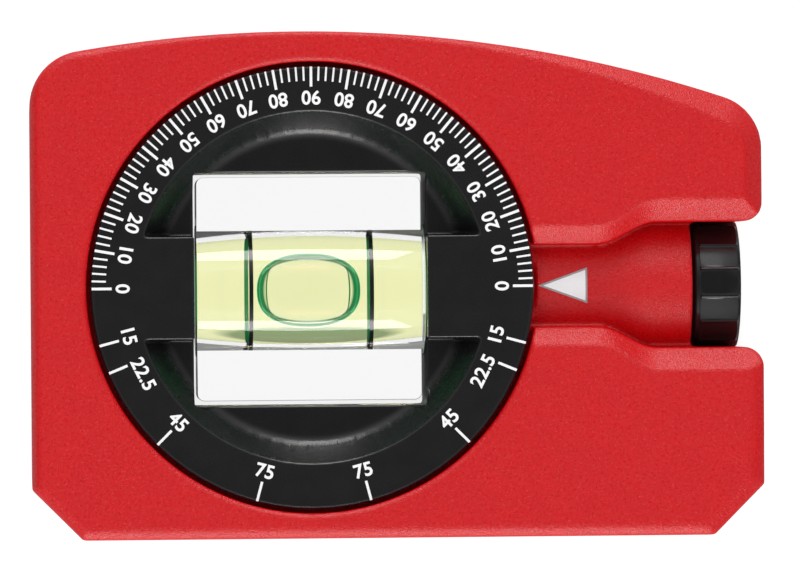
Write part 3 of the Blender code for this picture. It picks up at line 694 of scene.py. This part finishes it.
root, mouth = GROOVE_HALF - GROOVE_DEPTH, GROOVE_HALF + OVER
ring = [(-mouth, -OVER), (mouth, -OVER), (root, GROOVE_DEPTH), (-root, GROOVE_DEPTH)]
groove = [[(x, BASE + y, middle_z + z) for z, y in ring] for x in (LEFT - OVER, RIGHT + OVER)]
cut(casting, lofted(groove))
MAGNET_NODES = [f"magnet_{i}" for i in range(1, 4)]
for node in MAGNET_NODES:
    low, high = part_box(node)
    pocket = rod((high.x - low.x) / 2 + POCKET_GAP, -OVER, high.y - low.y + POCKET_GAP)
    cut(casting, put(lathe(pocket, 64), ((low.x + high.x) / 2, low.y, middle_z), into_body))
profile = [(BOSS_HOLE, BOSS_START), (BOSS_NEAR, BOSS_START)]
profile += [(BOSS_NEAR + (BOSS_FAR - BOSS_NEAR) * wide, x) for wide, x in FLARE]
profile += [(BOSS_FAR, NOTCH_X), (BOSS_HOLE, NOTCH_X), (BOSS_HOLE, BOSS_START)]
boss = linked("boss", put(lathe(profile, 128), lock_axis, along_x))
half, over = face_z / 2, face_z / 2 + OVER
bore = [(LEDGE_RADIUS, LEDGE_Z), (BORE_RADIUS, LEDGE_Z), (BORE_RADIUS, half - LIP)]
bore += [(BORE_RADIUS + LIP, half), (BORE_RADIUS + LIP, over), (0, over)]
bore = [(radius, -height) for radius, height in reversed(bore)] + bore
for item in (casting, boss):
    cut(item, put(lathe(bore, 240), (*dial_centre.xy, middle_z)))
join(casting, boss)
soften(casting, cell=0.22 * MM, rounds=7, budget=180000)
dress(casting, coat, "frame", "red_powder_coat", "frame")

# %% [markdown]
# ## Dial
# The two dial halves get the same treatment with a finer skin and less smoothing, because
# moulded plastic keeps a tighter edge than a coated casting. The thin bright lines round the
# ring and the wells in a photograph are these small rounds catching the softboxes.
# The vial is seated against ribs on two sides of its window, and three bars add them before
# the new skin is drawn, which melts them into the wall. Each well's wall is then bent: it
# falls steeply and runs into the floor in a hollow curve.

# %% Dial halves
WINDOW_HALF, LAND_HALF = 12.55 * MM, 5.45 * MM
LINER_RIGHT, LINER_BASE, LINER_ROOT = 0.27 * MM, 0.25 * MM, 0.30 * MM
WELL_DEPTH, WELL_RADIUS, WELL_RIM = 3.8 * MM, 18.8 * MM, 0.22 * MM
WELL_BEND, WELL_STEEP = 1.9 * MM, math.radians(61)
LAND_MARGIN, FLOOR_MARGIN, LINER_UNDER = 0.25 * MM, 0.1 * MM, 0.3 * MM


def well_rise(radius):
    """How high the well's wall stands over its floor at a radius, or None beside the wall."""
    out = WELL_RADIUS - radius
    bend_rise, bend_reach = WELL_BEND * (1 - math.cos(WELL_STEEP)), WELL_BEND * math.sin(WELL_STEEP)
    straight = (WELL_DEPTH - bend_rise) / math.tan(WELL_STEEP)
    if out < WELL_RIM or out > straight + bend_reach:
        return None
    if out < straight:
        return WELL_DEPTH - out * math.tan(WELL_STEEP)
    return WELL_BEND - math.sqrt(WELL_BEND**2 - (straight + bend_reach - out) ** 2)


dial_face = cad_copy("dial_face", "dial_front")
window_low = vial_centre - Vector((WINDOW_HALF, WINDOW_HALF, 0))
window_high = vial_centre + Vector((WINDOW_HALF, WINDOW_HALF, 0))
liner_x = window_high.x - LINER_RIGHT, window_high.x + LINER_ROOT
liner_y = window_low.y - LINER_ROOT, window_low.y + LINER_BASE
deep, floor_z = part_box("dial_rear")[1].z + LINER_UNDER, ring_z - WELL_DEPTH
for low, high in (
    ((liner_x[0], liner_y[0], deep), (liner_x[1], window_high.y, floor_z)),
    ((liner_x[0], dial_centre.y - LAND_HALF, deep), (liner_x[1], dial_centre.y + LAND_HALF, ring_z)),
    ((window_low.x, liner_y[0], deep), (liner_x[1], liner_y[1], floor_z)),
):
    join(dial_face, linked("liner", brick(low, high)))
soften(dial_face, cell=0.16 * MM, rounds=3, budget=180000)
for vertex in dial_face.data.vertices:
    offset = vertex.co.xy - dial_centre.xy
    if abs(offset.y) > LAND_HALF + LAND_MARGIN and floor_z - FLOOR_MARGIN < vertex.co.z:
        rise = well_rise(offset.length)
        if rise is not None:
            vertex.co.z = floor_z + rise
dress(dial_face, satin, "dial", "black_plastic", "dial_front")
dial_back = cad_copy("dial_back", "dial_rear")
soften(dial_back, cell=0.17 * MM, rounds=3, budget=150000)
dress(dial_back, satin, "dial", "black_plastic", "dial_rear")

# %% [markdown]
# Repeats are made by Geometry Nodes, in three steps: a tree with named inputs, an end that
# turns its copies into real mesh with a material, and a run of the tree on an object.

# %% Helpers for Geometry Nodes
def repeat_tree(name, **inputs):
    """A new tree, and its inputs by name; each is given as name=kind of socket."""
    group = bpy.data.node_groups.new(name, "GeometryNodeTree")
    for label, kind in inputs.items():
        group.interface.new_socket(label, in_out="INPUT", socket_type=f"NodeSocket{kind}")
    group.interface.new_socket("Copies", in_out="OUTPUT", socket_type="NodeSocketGeometry")
    tree = Tree(group)
    given = tree.add("NodeGroupInput").outputs
    return tree, {label: Value(tree, given[label]) for label in inputs}


def repeat_end(tree, copies, finish):
    """Ends a tree: the copies become real mesh with a material."""
    copies = tree.node("GeometryNodeRealizeInstances", {"Geometry": copies})
    copies = tree.node("GeometryNodeSetMaterial", {"Geometry": copies, "Material": finish})
    tree.add("NodeGroupOutput", {"Copies": copies})
    return tree.tree


def run_tree(item, group, **values):
    """Bakes the object through a tree with these inputs."""
    modifier = item.modifiers.new("repeat", "NODES")
    modifier.node_group = group
    for socket in group.interface.items_tree:
        if socket.name in values:
            modifier[socket.identifier] = values[socket.name]
    item.update_tag()
    return baked(item)


# %% [markdown]
# The scale is such a repeat. One small bar is moved out to its radius, copied once for each
# mark, and each copy is turned a step further round the dial. The same tree is used for a mark
# at every 2 degrees, a longer and thicker one at every 10, and the lone marks of some slopes.

# %% Scale marks by Geometry Nodes
INK_THICKNESS = 0.016 * MM
HEAVY_INK = 1.6 * INK_THICKNESS
tree, given = repeat_tree(
    "scale_marks", Count="Int", First="Float", Step="Float", Inner="Float", Outer="Float",
    Width="Float", Thickness="Float", Centre="Vector", Ink="Material",
)
size = {"X": given["Outer"] - given["Inner"], "Y": given["Width"], "Z": given["Thickness"]}
out = {"X": (given["Outer"] + given["Inner"]) * 0.5}
turn = {"Z": tree.node("GeometryNodeInputIndex") * given["Step"] + given["First"]}
size, out, turn = (tree.node("ShaderNodeCombineXYZ", axes) for axes in (size, out, turn))
mark = tree.node("GeometryNodeMeshCube", {"Size": size})
mark = tree.node("GeometryNodeTransform", {"Geometry": mark, "Translation": out})
points = tree.node("GeometryNodePoints", {"Count": given["Count"]})
marks = {"Points": points, "Instance": mark, "Rotation": turn}
marks = {"Geometry": tree.node("GeometryNodeInstanceOnPoints", marks)}
marks["Translation"] = given["Centre"]
scale_tree = repeat_end(tree, tree.node("GeometryNodeTransform", marks), given["Ink"])


def scale_marks(name, count, first, step, inner, width, thickness=HEAVY_INK):
    item = run_tree(
        linked(name, bmesh.new()), scale_tree, Count=count, First=math.radians(first),
        Step=math.radians(step), Inner=inner, Outer=MARK_OUTER, Width=width, Thickness=thickness,
        Centre=(*dial_centre.xy, ring_z + thickness / 2), Ink=white_ink.material,
    )
    dress(item, white_ink, "dial", "black_plastic", crease=30)


MARK_OUTER = (ring_high.x - ring_low.x) / 2 - 0.16 * MM
MARK_LONG, MARK_SHORT = MARK_OUTER - 2.12 * MM, MARK_OUTER - 1.50 * MM
scale_marks("scale_degrees", 91, 0, 2, MARK_SHORT, 0.20 * MM, INK_THICKNESS)
scale_marks("scale_tens", 19, 0, 10, MARK_LONG, 0.28 * MM)
NUMBER_TURN = {15: 14.6, 22.5: 26.6, 45: 44.5, 75: 75}
for slope in NUMBER_TURN:
    name = f"scale_slope_{str(slope).replace('.', '_')}"
    scale_marks(name, 2, -slope, 2 * slope - 180, MARK_LONG, 0.27 * MM)

# %% [markdown]
# The numbers stand with their tops towards the middle, so that whichever one is at the
# pointer reads the same way. Text objects would be lost in the export, so each number is
# made into mesh, brought to its true height and width, turned to its place and joined with
# the rest. The face is narrowed and thickened to look like the condensed figures on rulers.

# %% Scale numbers
DIGIT_HEIGHT, DIGIT_WIDTH = 1.52 * MM, 0.98 * MM
NUMBER_RADIUS = 20.15 * MM
labels = [(str(10 * i), 10 * i) for i in range(10)]
labels += [(str(10 * i), 180 - 10 * i) for i in range(9)]
for slope, turn in NUMBER_TURN.items():
    labels += [(str(slope), -turn), (str(slope), turn - 180)]


def written(text):
    """Flat text as a bmesh, in the font's own units."""
    curve = bpy.data.curves.new("label", "FONT")
    curve.body = text
    curve.offset = 0.022
    curve.space_character = 1.04
    curve.resolution_u = 6
    item = bpy.data.objects.new("label", curve)
    bpy.context.scene.collection.objects.link(item)
    evaluated = item.evaluated_get(bpy.context.evaluated_depsgraph_get())
    mesh = bpy.data.meshes.new_from_object(evaluated)
    bpy.data.objects.remove(item, do_unlink=True)
    bm = bmesh.new()
    bm.from_mesh(mesh)
    return bm


def extent(bm):
    low = Vector([min(v.co[i] for v in bm.verts) for i in range(3)])
    high = Vector([max(v.co[i] for v in bm.verts) for i in range(3)])
    return low, high


low, high = extent(written("0"))
narrow, tall = DIGIT_WIDTH / (high.x - low.x), DIGIT_HEIGHT / (high.y - low.y)
numbers = linked("scale_numbers", bmesh.new())
for text, angle in labels:
    label = written(text)
    low, high = extent(label)
    bmesh.ops.translate(label, verts=label.verts, vec=-(low + high) / 2)
    bmesh.ops.scale(label, verts=label.verts, vec=(narrow, tall, 1))
    thick = bmesh.ops.extrude_face_region(label, geom=label.faces[:])
    lifted = [v for v in thick["geom"] if isinstance(v, bmesh.types.BMVert)]
    bmesh.ops.translate(label, verts=lifted, vec=(0, 0, INK_THICKNESS))
    bmesh.ops.recalc_face_normals(label, faces=label.faces)
    out = Vector((math.cos(math.radians(angle)), math.sin(math.radians(angle)), 0))
    turn = Matrix.Rotation(math.radians(angle + 90), 3, "Z")
    put(label, Vector((*dial_centre.xy, ring_z)) + out * NUMBER_RADIUS, turn)
    join(numbers, linked("label", label))
dress(numbers, white_ink, "dial", "black_plastic", crease=30)

# %% [markdown]
# ## Pointer
# A white arrow with a grey border is printed on the crest of the boss. It is a row of rings
# between the arrow's two sloping sides, dropped onto the boss's round, so the ink follows the
# curve instead of floating over it.

# %% Pointer on the boss
POINTER_TIP, POINTER_END = NECK_START + 0.15 * MM, NECK_START + 5.45 * MM
POINTER_HALF, POINTER_BORDER = 1.92 * MM, 0.20 * MM
POINTER_SUNK, BORDER_LIFT, POINTER_LIFT = 0.05 * MM, 0.02 * MM, 0.03 * MM
ROWS = 16


def arrow(tip, end, half, lift):
    """A triangle laid on the boss, thick enough to be a closed solid."""
    rings = []
    for i in range(ROWS + 1):
        ring = []
        for height, way in ((lift, 1), (-POINTER_SUNK, -1)):
            for j in range(-ROWS // 2, ROWS // 2 + 1)[::way]:
                y = half * i / ROWS * 2 * j / ROWS
                z = math.sqrt(BOSS_NEAR**2 - y**2) + height
                ring.append((tip + (end - tip) * i / ROWS, dial_centre.y + y, middle_z + z))
        rings.append(ring)
    bm = lofted(rings)
    bmesh.ops.remove_doubles(bm, verts=bm.verts, dist=0.001 * MM)
    bmesh.ops.recalc_face_normals(bm, faces=bm.faces)
    return bm


border = linked("pointer_border", arrow(POINTER_TIP, POINTER_END, POINTER_HALF, BORDER_LIFT))
dress(border, grey_ink, "frame", "red_powder_coat", crease=30)
slope = POINTER_HALF / (POINTER_END - POINTER_TIP)
inner_tip = POINTER_TIP + POINTER_BORDER / math.sin(math.atan(slope))
inner_end = POINTER_END - POINTER_BORDER
inner_half = slope * (inner_end - inner_tip)
pointer = linked("pointer", arrow(inner_tip, inner_end, inner_half, POINTER_LIFT))
dress(pointer, white_ink, "frame", "red_powder_coat", crease=30)

# %% [markdown]
# ## Vial
# The vial is one clear moulding: a square plate with a tube across it. The plate is a stack
# of rounded squares and the tube a turned profile, both with slightly rounded edges, and a
# boolean joins them, which leaves a crisp line where the tube rises out of the plate. The
# tube ends a hair outside the plate, as the photograph shows at its right end.

# %% The clear moulding
PLATE_X, PLATE_Y, PLATE_Z = 12.05 * MM, 11.97 * MM, 3.1 * MM
PLATE_SHIFT = Vector((-0.12, 0.16, 0)) * MM
TUBE_RADIUS, TUBE_HALF = (block_high.z - block_low.z) / 2, (block_high.x - block_low.x) / 2
CORNER, CORNER_STEPS, EDGE, EDGE_STEPS = 0.8 * MM, 8, 0.12 * MM, 4


def round_square(inset):
    """Points round a square with rounded corners."""
    points = []
    for quarter, (sx, sy) in enumerate(((1, 1), (-1, 1), (-1, -1), (1, -1))):
        for i in range(CORNER_STEPS + 1):
            turn = math.pi / 2 * (quarter + i / CORNER_STEPS)
            x = sx * (PLATE_X - CORNER) + (CORNER - inset) * math.cos(turn)
            y = sy * (PLATE_Y - CORNER) + (CORNER - inset) * math.sin(turn)
            points.append((x, y))
    return points


def soft_edge(size):
    """(inset, place) pairs that round an edge at the end of a size."""
    turns = [math.pi / 2 * i / EDGE_STEPS for i in range(EDGE_STEPS + 1)]
    return [(EDGE * (1 - math.cos(t)), size - EDGE * (1 - math.sin(t))) for t in turns]


def hollow(item, bm):
    """Adds a shape to the object turned inside out, as a cavity with the second finish."""
    bmesh.ops.reverse_faces(bm, faces=bm.faces)
    outer = len(item.data.polygons)
    join(item, linked("hollow", bm))
    inner = item.data.attributes.new("inner", "INT", "FACE")
    inner.data.foreach_set("value", [int(i >= outer) for i in range(len(inner.data))])


top = soft_edge(PLATE_Z)
levels = [(inset, -z) for inset, z in reversed(top)] + top
plate = [[(x, y, z) for x, y in round_square(inset)] for inset, z in levels]
moulding = linked("vial_moulding", put(lofted(plate), vial_centre + PLATE_SHIFT))
end = [(TUBE_RADIUS - inset, x) for inset, x in soft_edge(TUBE_HALF)]
tube = [(0, -TUBE_HALF)] + [(r, -x) for r, x in reversed(end)] + end + [(0, TUBE_HALF)]
combine(moulding, "UNION", put(lathe(tube, 256), vial_centre, along_x))

BARREL_MID, BARREL_END, BARREL_STEPS, END_WALL = 4.33 * MM, 3.80 * MM, 32, 0.25 * MM
PLUG_RADIUS, PLUG_DEPTH, PLUG_FIT = 3.9 * MM, 0.30 * MM, 0.03 * MM
BORE_LOW, BORE_HIGH = END_WALL - TUBE_HALF, TUBE_HALF - PLUG_DEPTH - 2 * PLUG_FIT


def barrel(shrink):
    """The bore as a turned profile: widest in the middle, on one shallow arc."""
    middle, half = (BORE_LOW + BORE_HIGH) / 2, (BORE_HIGH - BORE_LOW) / 2 - shrink
    profile = [(0, middle - half)]
    for i in range(BARREL_STEPS + 1):
        share = 2 * i / BARREL_STEPS - 1
        radius = BARREL_MID - (BARREL_MID - BARREL_END) * share**2 - shrink
        profile.append((radius, middle + half * share))
    return lathe(profile + [(0, middle + half)], 128)


hollow(moulding, put(barrel(0.0), vial_centre, along_x))
dress(moulding, [acrylic, wet_bore], "dial", "clear_acrylic", "vial_block", crease=24)

# %% [markdown]
# The spirit fills the bore, and the bubble is a hollow in it. The bubble presses against the
# front of the bore: its top follows the glass, its rim is rounded, and seen from the front it
# is a rectangle with very round corners, which a superellipse gives in one formula. The vial
# is hidden from diffuse rays, and the spirit from mirrored ones too, because the spirit's
# painted green glow would tint the black wells beside it.

# %% Spirit and bubble
BUBBLE_LONG, BUBBLE_WIDE, BUBBLE_FLOOR, FILM = 5.48 * MM, 3.24 * MM, 1.25 * MM, 0.06 * MM
BUBBLE_AT, PLAN_SQUARE, END_SQUARE, SIDE_SQUARE = -0.2 * MM, 2.4, 2.4, 6.0
AROUND, BUBBLE_RINGS, SPIRIT_GAP = 144, 56, 0.03 * MM


def signed(value, power):
    """A power of a number's size, with the number's own sign."""
    return math.copysign(abs(value) ** power, value)


def bubble_ring(turn_down):
    """One ring of the bubble, from the middle of its top over the rim to its underside."""
    ring = []
    for i in range(AROUND):
        c, s = math.cos(2 * math.pi * i / AROUND), math.sin(2 * math.pi * i / AROUND)
        square = END_SQUARE * c * c + SIDE_SQUARE * s * s
        spread = math.sin(turn_down) ** (2 / square)
        height = signed(math.cos(turn_down), 2 / square)
        x = BUBBLE_LONG * spread * signed(c, 2 / PLAN_SQUARE)
        y = BUBBLE_WIDE * spread * signed(s, 2 / PLAN_SQUARE)
        wall = BARREL_MID - (BARREL_MID - BARREL_END) * (x / BORE_HIGH) ** 2 - FILM
        top = math.sqrt(wall**2 - y**2)
        ring.append((x, y, (top + BUBBLE_FLOOR) / 2 + (top - BUBBLE_FLOOR) / 2 * height))
    return ring


bubble = lofted([bubble_ring(math.pi * row / BUBBLE_RINGS) for row in range(1, BUBBLE_RINGS)])
spirit_fill = linked("spirit_fill", put(barrel(SPIRIT_GAP), vial_centre, along_x))
hollow(spirit_fill, put(bubble, vial_centre + Vector((BUBBLE_AT, 0, 0))))
dress(spirit_fill, [spirit, bubble_wall], "dial", "green_fluid", "vial_fluid", crease=40)
moulding.visible_diffuse = spirit_fill.visible_diffuse = spirit_fill.visible_glossy = False

# %% [markdown]
# The plug closes the bore at one end. It is a small disc welded in with solvent, so light
# doesn't bend where it meets the moulding, and only a faint tint shows it. The reading lines
# are printed on the front and the rear of the tube. Each is a thin strip that follows the
# tube's arc from one edge of the plate to the other.

# %% Plug and reading lines
weld = clear("welded_plug", 1.0, 1.5 * MM, (0.90, 0.96, 0.84, 1), (0.96, 0.99, 0.92, 1), detail=2.0)
seat = vial_centre + Vector((TUBE_HALF - PLUG_DEPTH - PLUG_FIT, 0, 0))
plug = linked("bore_plug", put(lathe(rod(PLUG_RADIUS, 0, PLUG_DEPTH), 96), seat, along_x))
dress(plug, weld, "dial", "clear_acrylic", "vial_plug", crease=24)

LINE_REACH, LINE_WIDTH, LINE_THICK, LINE_FOOT = 6.43 * MM, 0.44 * MM, 0.02 * MM, 0.2
LINE_STEPS = 48
foot = math.asin(PLATE_Z / TUBE_RADIUS)
for face, tilt in (("front", 0), ("rear", math.pi)):
    for side, middle in (("left", -LINE_REACH), ("right", LINE_REACH)):
        loops = []
        for i in range(LINE_STEPS + 1):
            turn = tilt + foot + (math.pi - 2 * foot) * i / LINE_STEPS
            loop = []
            for along, out in ((-1, LINE_FOOT), (1, LINE_FOOT), (1, 1), (-1, 1)):
                reach = TUBE_RADIUS + LINE_THICK * out
                x = middle + along * LINE_WIDTH / 2
                loop.append((x, reach * math.cos(turn), reach * math.sin(turn)))
            loops.append(loop)
        line = linked(f"reading_line_{face}_{side}", put(lofted(loops), vial_centre))
        dress(line, black_ink, "dial", "line_black", f"vial_line_{face}_{side}", crease=30)

# %% [markdown]
# ## Lock knob
# The knob's rim has fifteen flats with a narrow rounded ridge between each two, for the
# fingers. Each section of the knob is one ring of points that runs straight over a flat and
# bulges over a ridge, and the rings are lofted along X, with short rounded steps at both ends.

# %% The knob
FLATS, FLAT_POINTS, FLAT_DEPTH = 15, 24, 0.28 * MM
RIDGE_TURN, RIDGE_SHARE, RIDGE_HEIGHT = math.radians(13.6), 0.17, 0.12 * MM
SOFT, HALF_RIDGE, DOME_STEPS = 0.12 * MM, 0.6, 9
FLAT_FROM, FLAT_TO, DOME_FROM, KNOB_LONGER = 0.6 * MM, 0.55 * MM, 0.25 * MM, 0.2 * MM
HOLE_DEPTH, HOLE_BEFORE = 2.2 * MM, 0.2 * MM


def knob_ring(x, radius, depth):
    """One ring of the knob at x; depth is 1 with full ridges and 0 for a plain round."""
    pitch = 2 * math.pi / FLATS
    foot = (1 - RIDGE_SHARE) / 2
    points = []
    for i in range(FLATS * FLAT_POINTS):
        flat, share = i // FLAT_POINTS, i % FLAT_POINTS / FLAT_POINTS
        off = abs(share - 0.5)
        ridge = math.cos(math.pi / 2 * (0.5 - off) / (0.5 - foot)) if off > foot else 0.0
        straight = math.cos(pitch * foot) / math.cos(pitch * min(off, foot))
        sunk = radius - (radius - RIDGE_HEIGHT) * straight - RIDGE_HEIGHT * ridge
        turn, reach = RIDGE_TURN + pitch * (flat + share), radius - depth * sunk
        points.append((x, reach * math.sin(turn), reach * math.cos(turn)))
    return points


start, end = knob_low.x + KNOB_OUT, knob_high.x + KNOB_OUT + KNOB_LONGER
flat_start, flat_end = start + FLAT_FROM, end - FLAT_TO
dome_start = flat_end + DOME_FROM
core = KNOB_RADIUS - FLAT_DEPTH
rows = [
    (start, core - 3 * SOFT, 0),
    (start + SOFT, core - SOFT, 0),
    (start + 3 * SOFT, core, 0),
    (flat_start - SOFT, core, 0),
    (flat_start, core + SOFT / 2, 0),
    (flat_start, KNOB_RADIUS - SOFT, HALF_RIDGE),
    (flat_start + SOFT, KNOB_RADIUS, 1),
    (flat_end - SOFT, KNOB_RADIUS, 1),
    (flat_end, KNOB_RADIUS - SOFT, HALF_RIDGE),
    (flat_end + SOFT, core - SOFT / 2, 0),
]
for i in range(DOME_STEPS):
    share = 1 - i / DOME_STEPS
    rows.append((dome_start + (end - dome_start) * (1 - share**2), (core - SOFT) * share, 0))
knob = linked("fluted_knob", put(lofted([knob_ring(*row) for row in rows]), (0, *lock_axis.yz)))
hole = lathe(rod(BOSS_HOLE, 0, HOLE_DEPTH), 48)
cut(knob, put(hole, (start - HOLE_BEFORE, *lock_axis.yz), along_x))
dress(knob, gloss, "knob", "gloss_black_plastic", "lock_knob", crease=32)

# %% [markdown]
# ## Screws, magnets and shoe
# The lock screw is M5 by 0.8. Its thread is one V profile swept along a helix by moving each
# ring of a lathe in and out, which keeps the screw one closed solid.

# %% The lock screw
screw_low, screw_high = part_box("lock_screw")
THREAD_PITCH, THREAD_DEPTH, SHANK_RADIUS, TIP_SHARE = 0.8 * MM, 0.40 * MM, 2.34 * MM, 0.8
HEAD_HALF, HEAD_BEVEL, BEVEL_SHARE = 0.98 * (screw_high.y - screw_low.y) / 2, 0.1 * MM, 0.97
SIDES, PER_TURN, HEAD_HEIGHT = 48, 8, 2.6 * MM
HEAD_FROM = screw_high.x - HEAD_HEIGHT


def screw_ring(x, shape, grow):
    """A ring round X with the section of the screw's tip, thread or head."""
    ring = []
    for i in range(SIDES):
        turn = 2 * math.pi * i / SIDES
        phase = ((x - screw_low.x) / THREAD_PITCH - turn / (2 * math.pi)) % 1.0
        off = (turn + math.pi / 6) % (math.pi / 3) - math.pi / 6
        reach = {
            "tip": SHANK_RADIUS * grow,
            "thread": SHANK_RADIUS - THREAD_DEPTH * (1 - abs(2 * phase - 1)) * grow,
            "head": HEAD_HALF * grow / math.cos(off) * math.cos(math.pi / 6),
        }[shape]
        ring.append((x, -reach * math.sin(turn), reach * math.cos(turn)))
    return ring


rings = [screw_ring(screw_low.x, "tip", TIP_SHARE)]
steps = int((HEAD_FROM - screw_low.x) / THREAD_PITCH * PER_TURN)
for i in range(1, steps):
    x = screw_low.x + (HEAD_FROM - screw_low.x) * i / steps
    rings.append(screw_ring(x, "thread", min(1.0, i / PER_TURN)))
for x, grow in ((HEAD_FROM, BEVEL_SHARE), (HEAD_FROM + HEAD_BEVEL, 1.0), (screw_high.x, 1.0)):
    rings.append(screw_ring(x, "head", grow))
lock_screw = linked("lock_screw_m5", put(lofted(rings), (0, *lock_axis.yz)))
dress(lock_screw, zinc, "knob", "zinc_steel", "lock_screw", crease=32)
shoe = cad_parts["brake_shoe"]
shoe.data.materials.clear()
shoe.data.materials.append(nylon.material)
shoe.data.polygons.foreach_set("material_index", [0] * len(shoe.data.polygons))

# %% [markdown]
# Four small pan screws hold the dial together from behind, and three round magnets sit in the
# groove. Both are repeats of one turned shape, so a second node tree sets a shape on every
# place that it is given.

# %% Repeats of one shape
tree, given = repeat_tree("repeat_at_places", Places="Geometry", Shape="Object", Finish="Material")
shape = tree.node("GeometryNodeObjectInfo", {"Object": given["Shape"]}, "Geometry")
copies = {"Points": given["Places"], "Instance": shape}
shape_tree = repeat_end(tree, tree.node("GeometryNodeInstanceOnPoints", copies), given["Finish"])


def repeated(name, shape, places, finish, body, slot, nodes):
    """One shape at several places, as one piece that stands for the CAD nodes there."""
    bm = bmesh.new()
    for place in places:
        bm.verts.new(place)
    item = run_tree(linked(name, bm), shape_tree, Shape=shape, Finish=finish.material)
    bpy.data.objects.remove(shape, do_unlink=True)
    dress(item, finish, body, slot, *nodes, crease=32)


# %% [markdown]
# A pan screw is a domed head with two crossed slots over a shank. Plain grooves stand for the
# thread, because the shank is buried in the dial.

# %% Dial screws
SCREW_NODES = [f"dial_screw_{i}" for i in range(1, 5)]
PAN_RADIUS, PAN_FLAT, PAN_DOME, PAN_HEIGHT, PAN_STEPS = 1.6 * MM, 0.55 * MM, 0.85 * MM, 1.3 * MM, 8
SHANK, SHANK_ROOT, GROOVES, GROOVES_FROM, UNGROOVED = 0.9 * MM, 0.66 * MM, 14, 0.3 * MM, 1.2 * MM
GROOVE_ROOT, GROOVE_FLANK = 0.4, 0.7
SLOT_HALF, SLOT_TURN = Vector((1.7, 0.36, 1.4)) * MM / 2, 0.4
boxes = [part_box(node) for node in SCREW_NODES]
head_z, screw_length = boxes[0][0].z, boxes[0][1].z - boxes[0][0].z
pan = [(0, 0), (PAN_FLAT, 0)]
for i in range(1, PAN_STEPS + 1):
    turn = math.pi / 2 * i / PAN_STEPS
    out = PAN_FLAT + (PAN_RADIUS - PAN_FLAT) * math.sin(turn)
    pan.append((out, PAN_DOME * (1 - math.cos(turn))))
pan += [(PAN_RADIUS, PAN_HEIGHT), (SHANK, PAN_HEIGHT)]
grooved = screw_length - PAN_HEIGHT - UNGROOVED
for i in range(GROOVES):
    at, pitch = PAN_HEIGHT + GROOVES_FROM + grooved * i / GROOVES, grooved / GROOVES
    pan += [(SHANK_ROOT, at), (SHANK_ROOT, at + pitch * GROOVE_ROOT)]
    pan.append((SHANK, at + pitch * GROOVE_FLANK))
pan.append((0, screw_length))
screw = linked("screw_shape", lathe(pan, 48))
for turn in (0, math.pi / 2):
    slot = Matrix.Rotation(turn + SLOT_TURN, 3, "Z")
    cut(screw, put(brick(-SLOT_HALF, SLOT_HALF), (0, 0, 0), slot))
places = [((low.x + high.x) / 2, (low.y + high.y) / 2, head_z) for low, high in boxes]
repeated("dial_screws", screw, places, zinc, "dial", "zinc_steel", SCREW_NODES)

# %% [markdown]
# A magnet is a plain disc with a round on the edge that faces out of the groove.

# %% Magnets
boxes = [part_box(node) for node in MAGNET_NODES]
low, high = boxes[0]
radius, height, edge = (high.x - low.x) / 2, high.y - low.y, 0.22 * MM
disc = [(0, 0)] + arc(Vector((radius - edge, edge)), edge, -math.pi / 2, 0, 4)
disc += [(radius, height - edge), (radius - edge, height), (0, height)]
magnet = linked("magnet_shape", put(lathe(disc, 96), (0, 0, 0), into_body))
places = [((low.x + high.x) / 2, low.y, (low.z + high.z) / 2) for low, high in boxes]
repeated("magnets", magnet, places, nickel, "frame", "nickel_plate", MAGNET_NODES)

# %% [markdown]
# Last, the size of the dressed level is printed beside the size of the CAD model, so the two
# can be compared.

# %% Finish
boxes = {"cad": [list(c) for c in cad_box], "visual": [list(c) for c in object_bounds()]}
print(boxes)
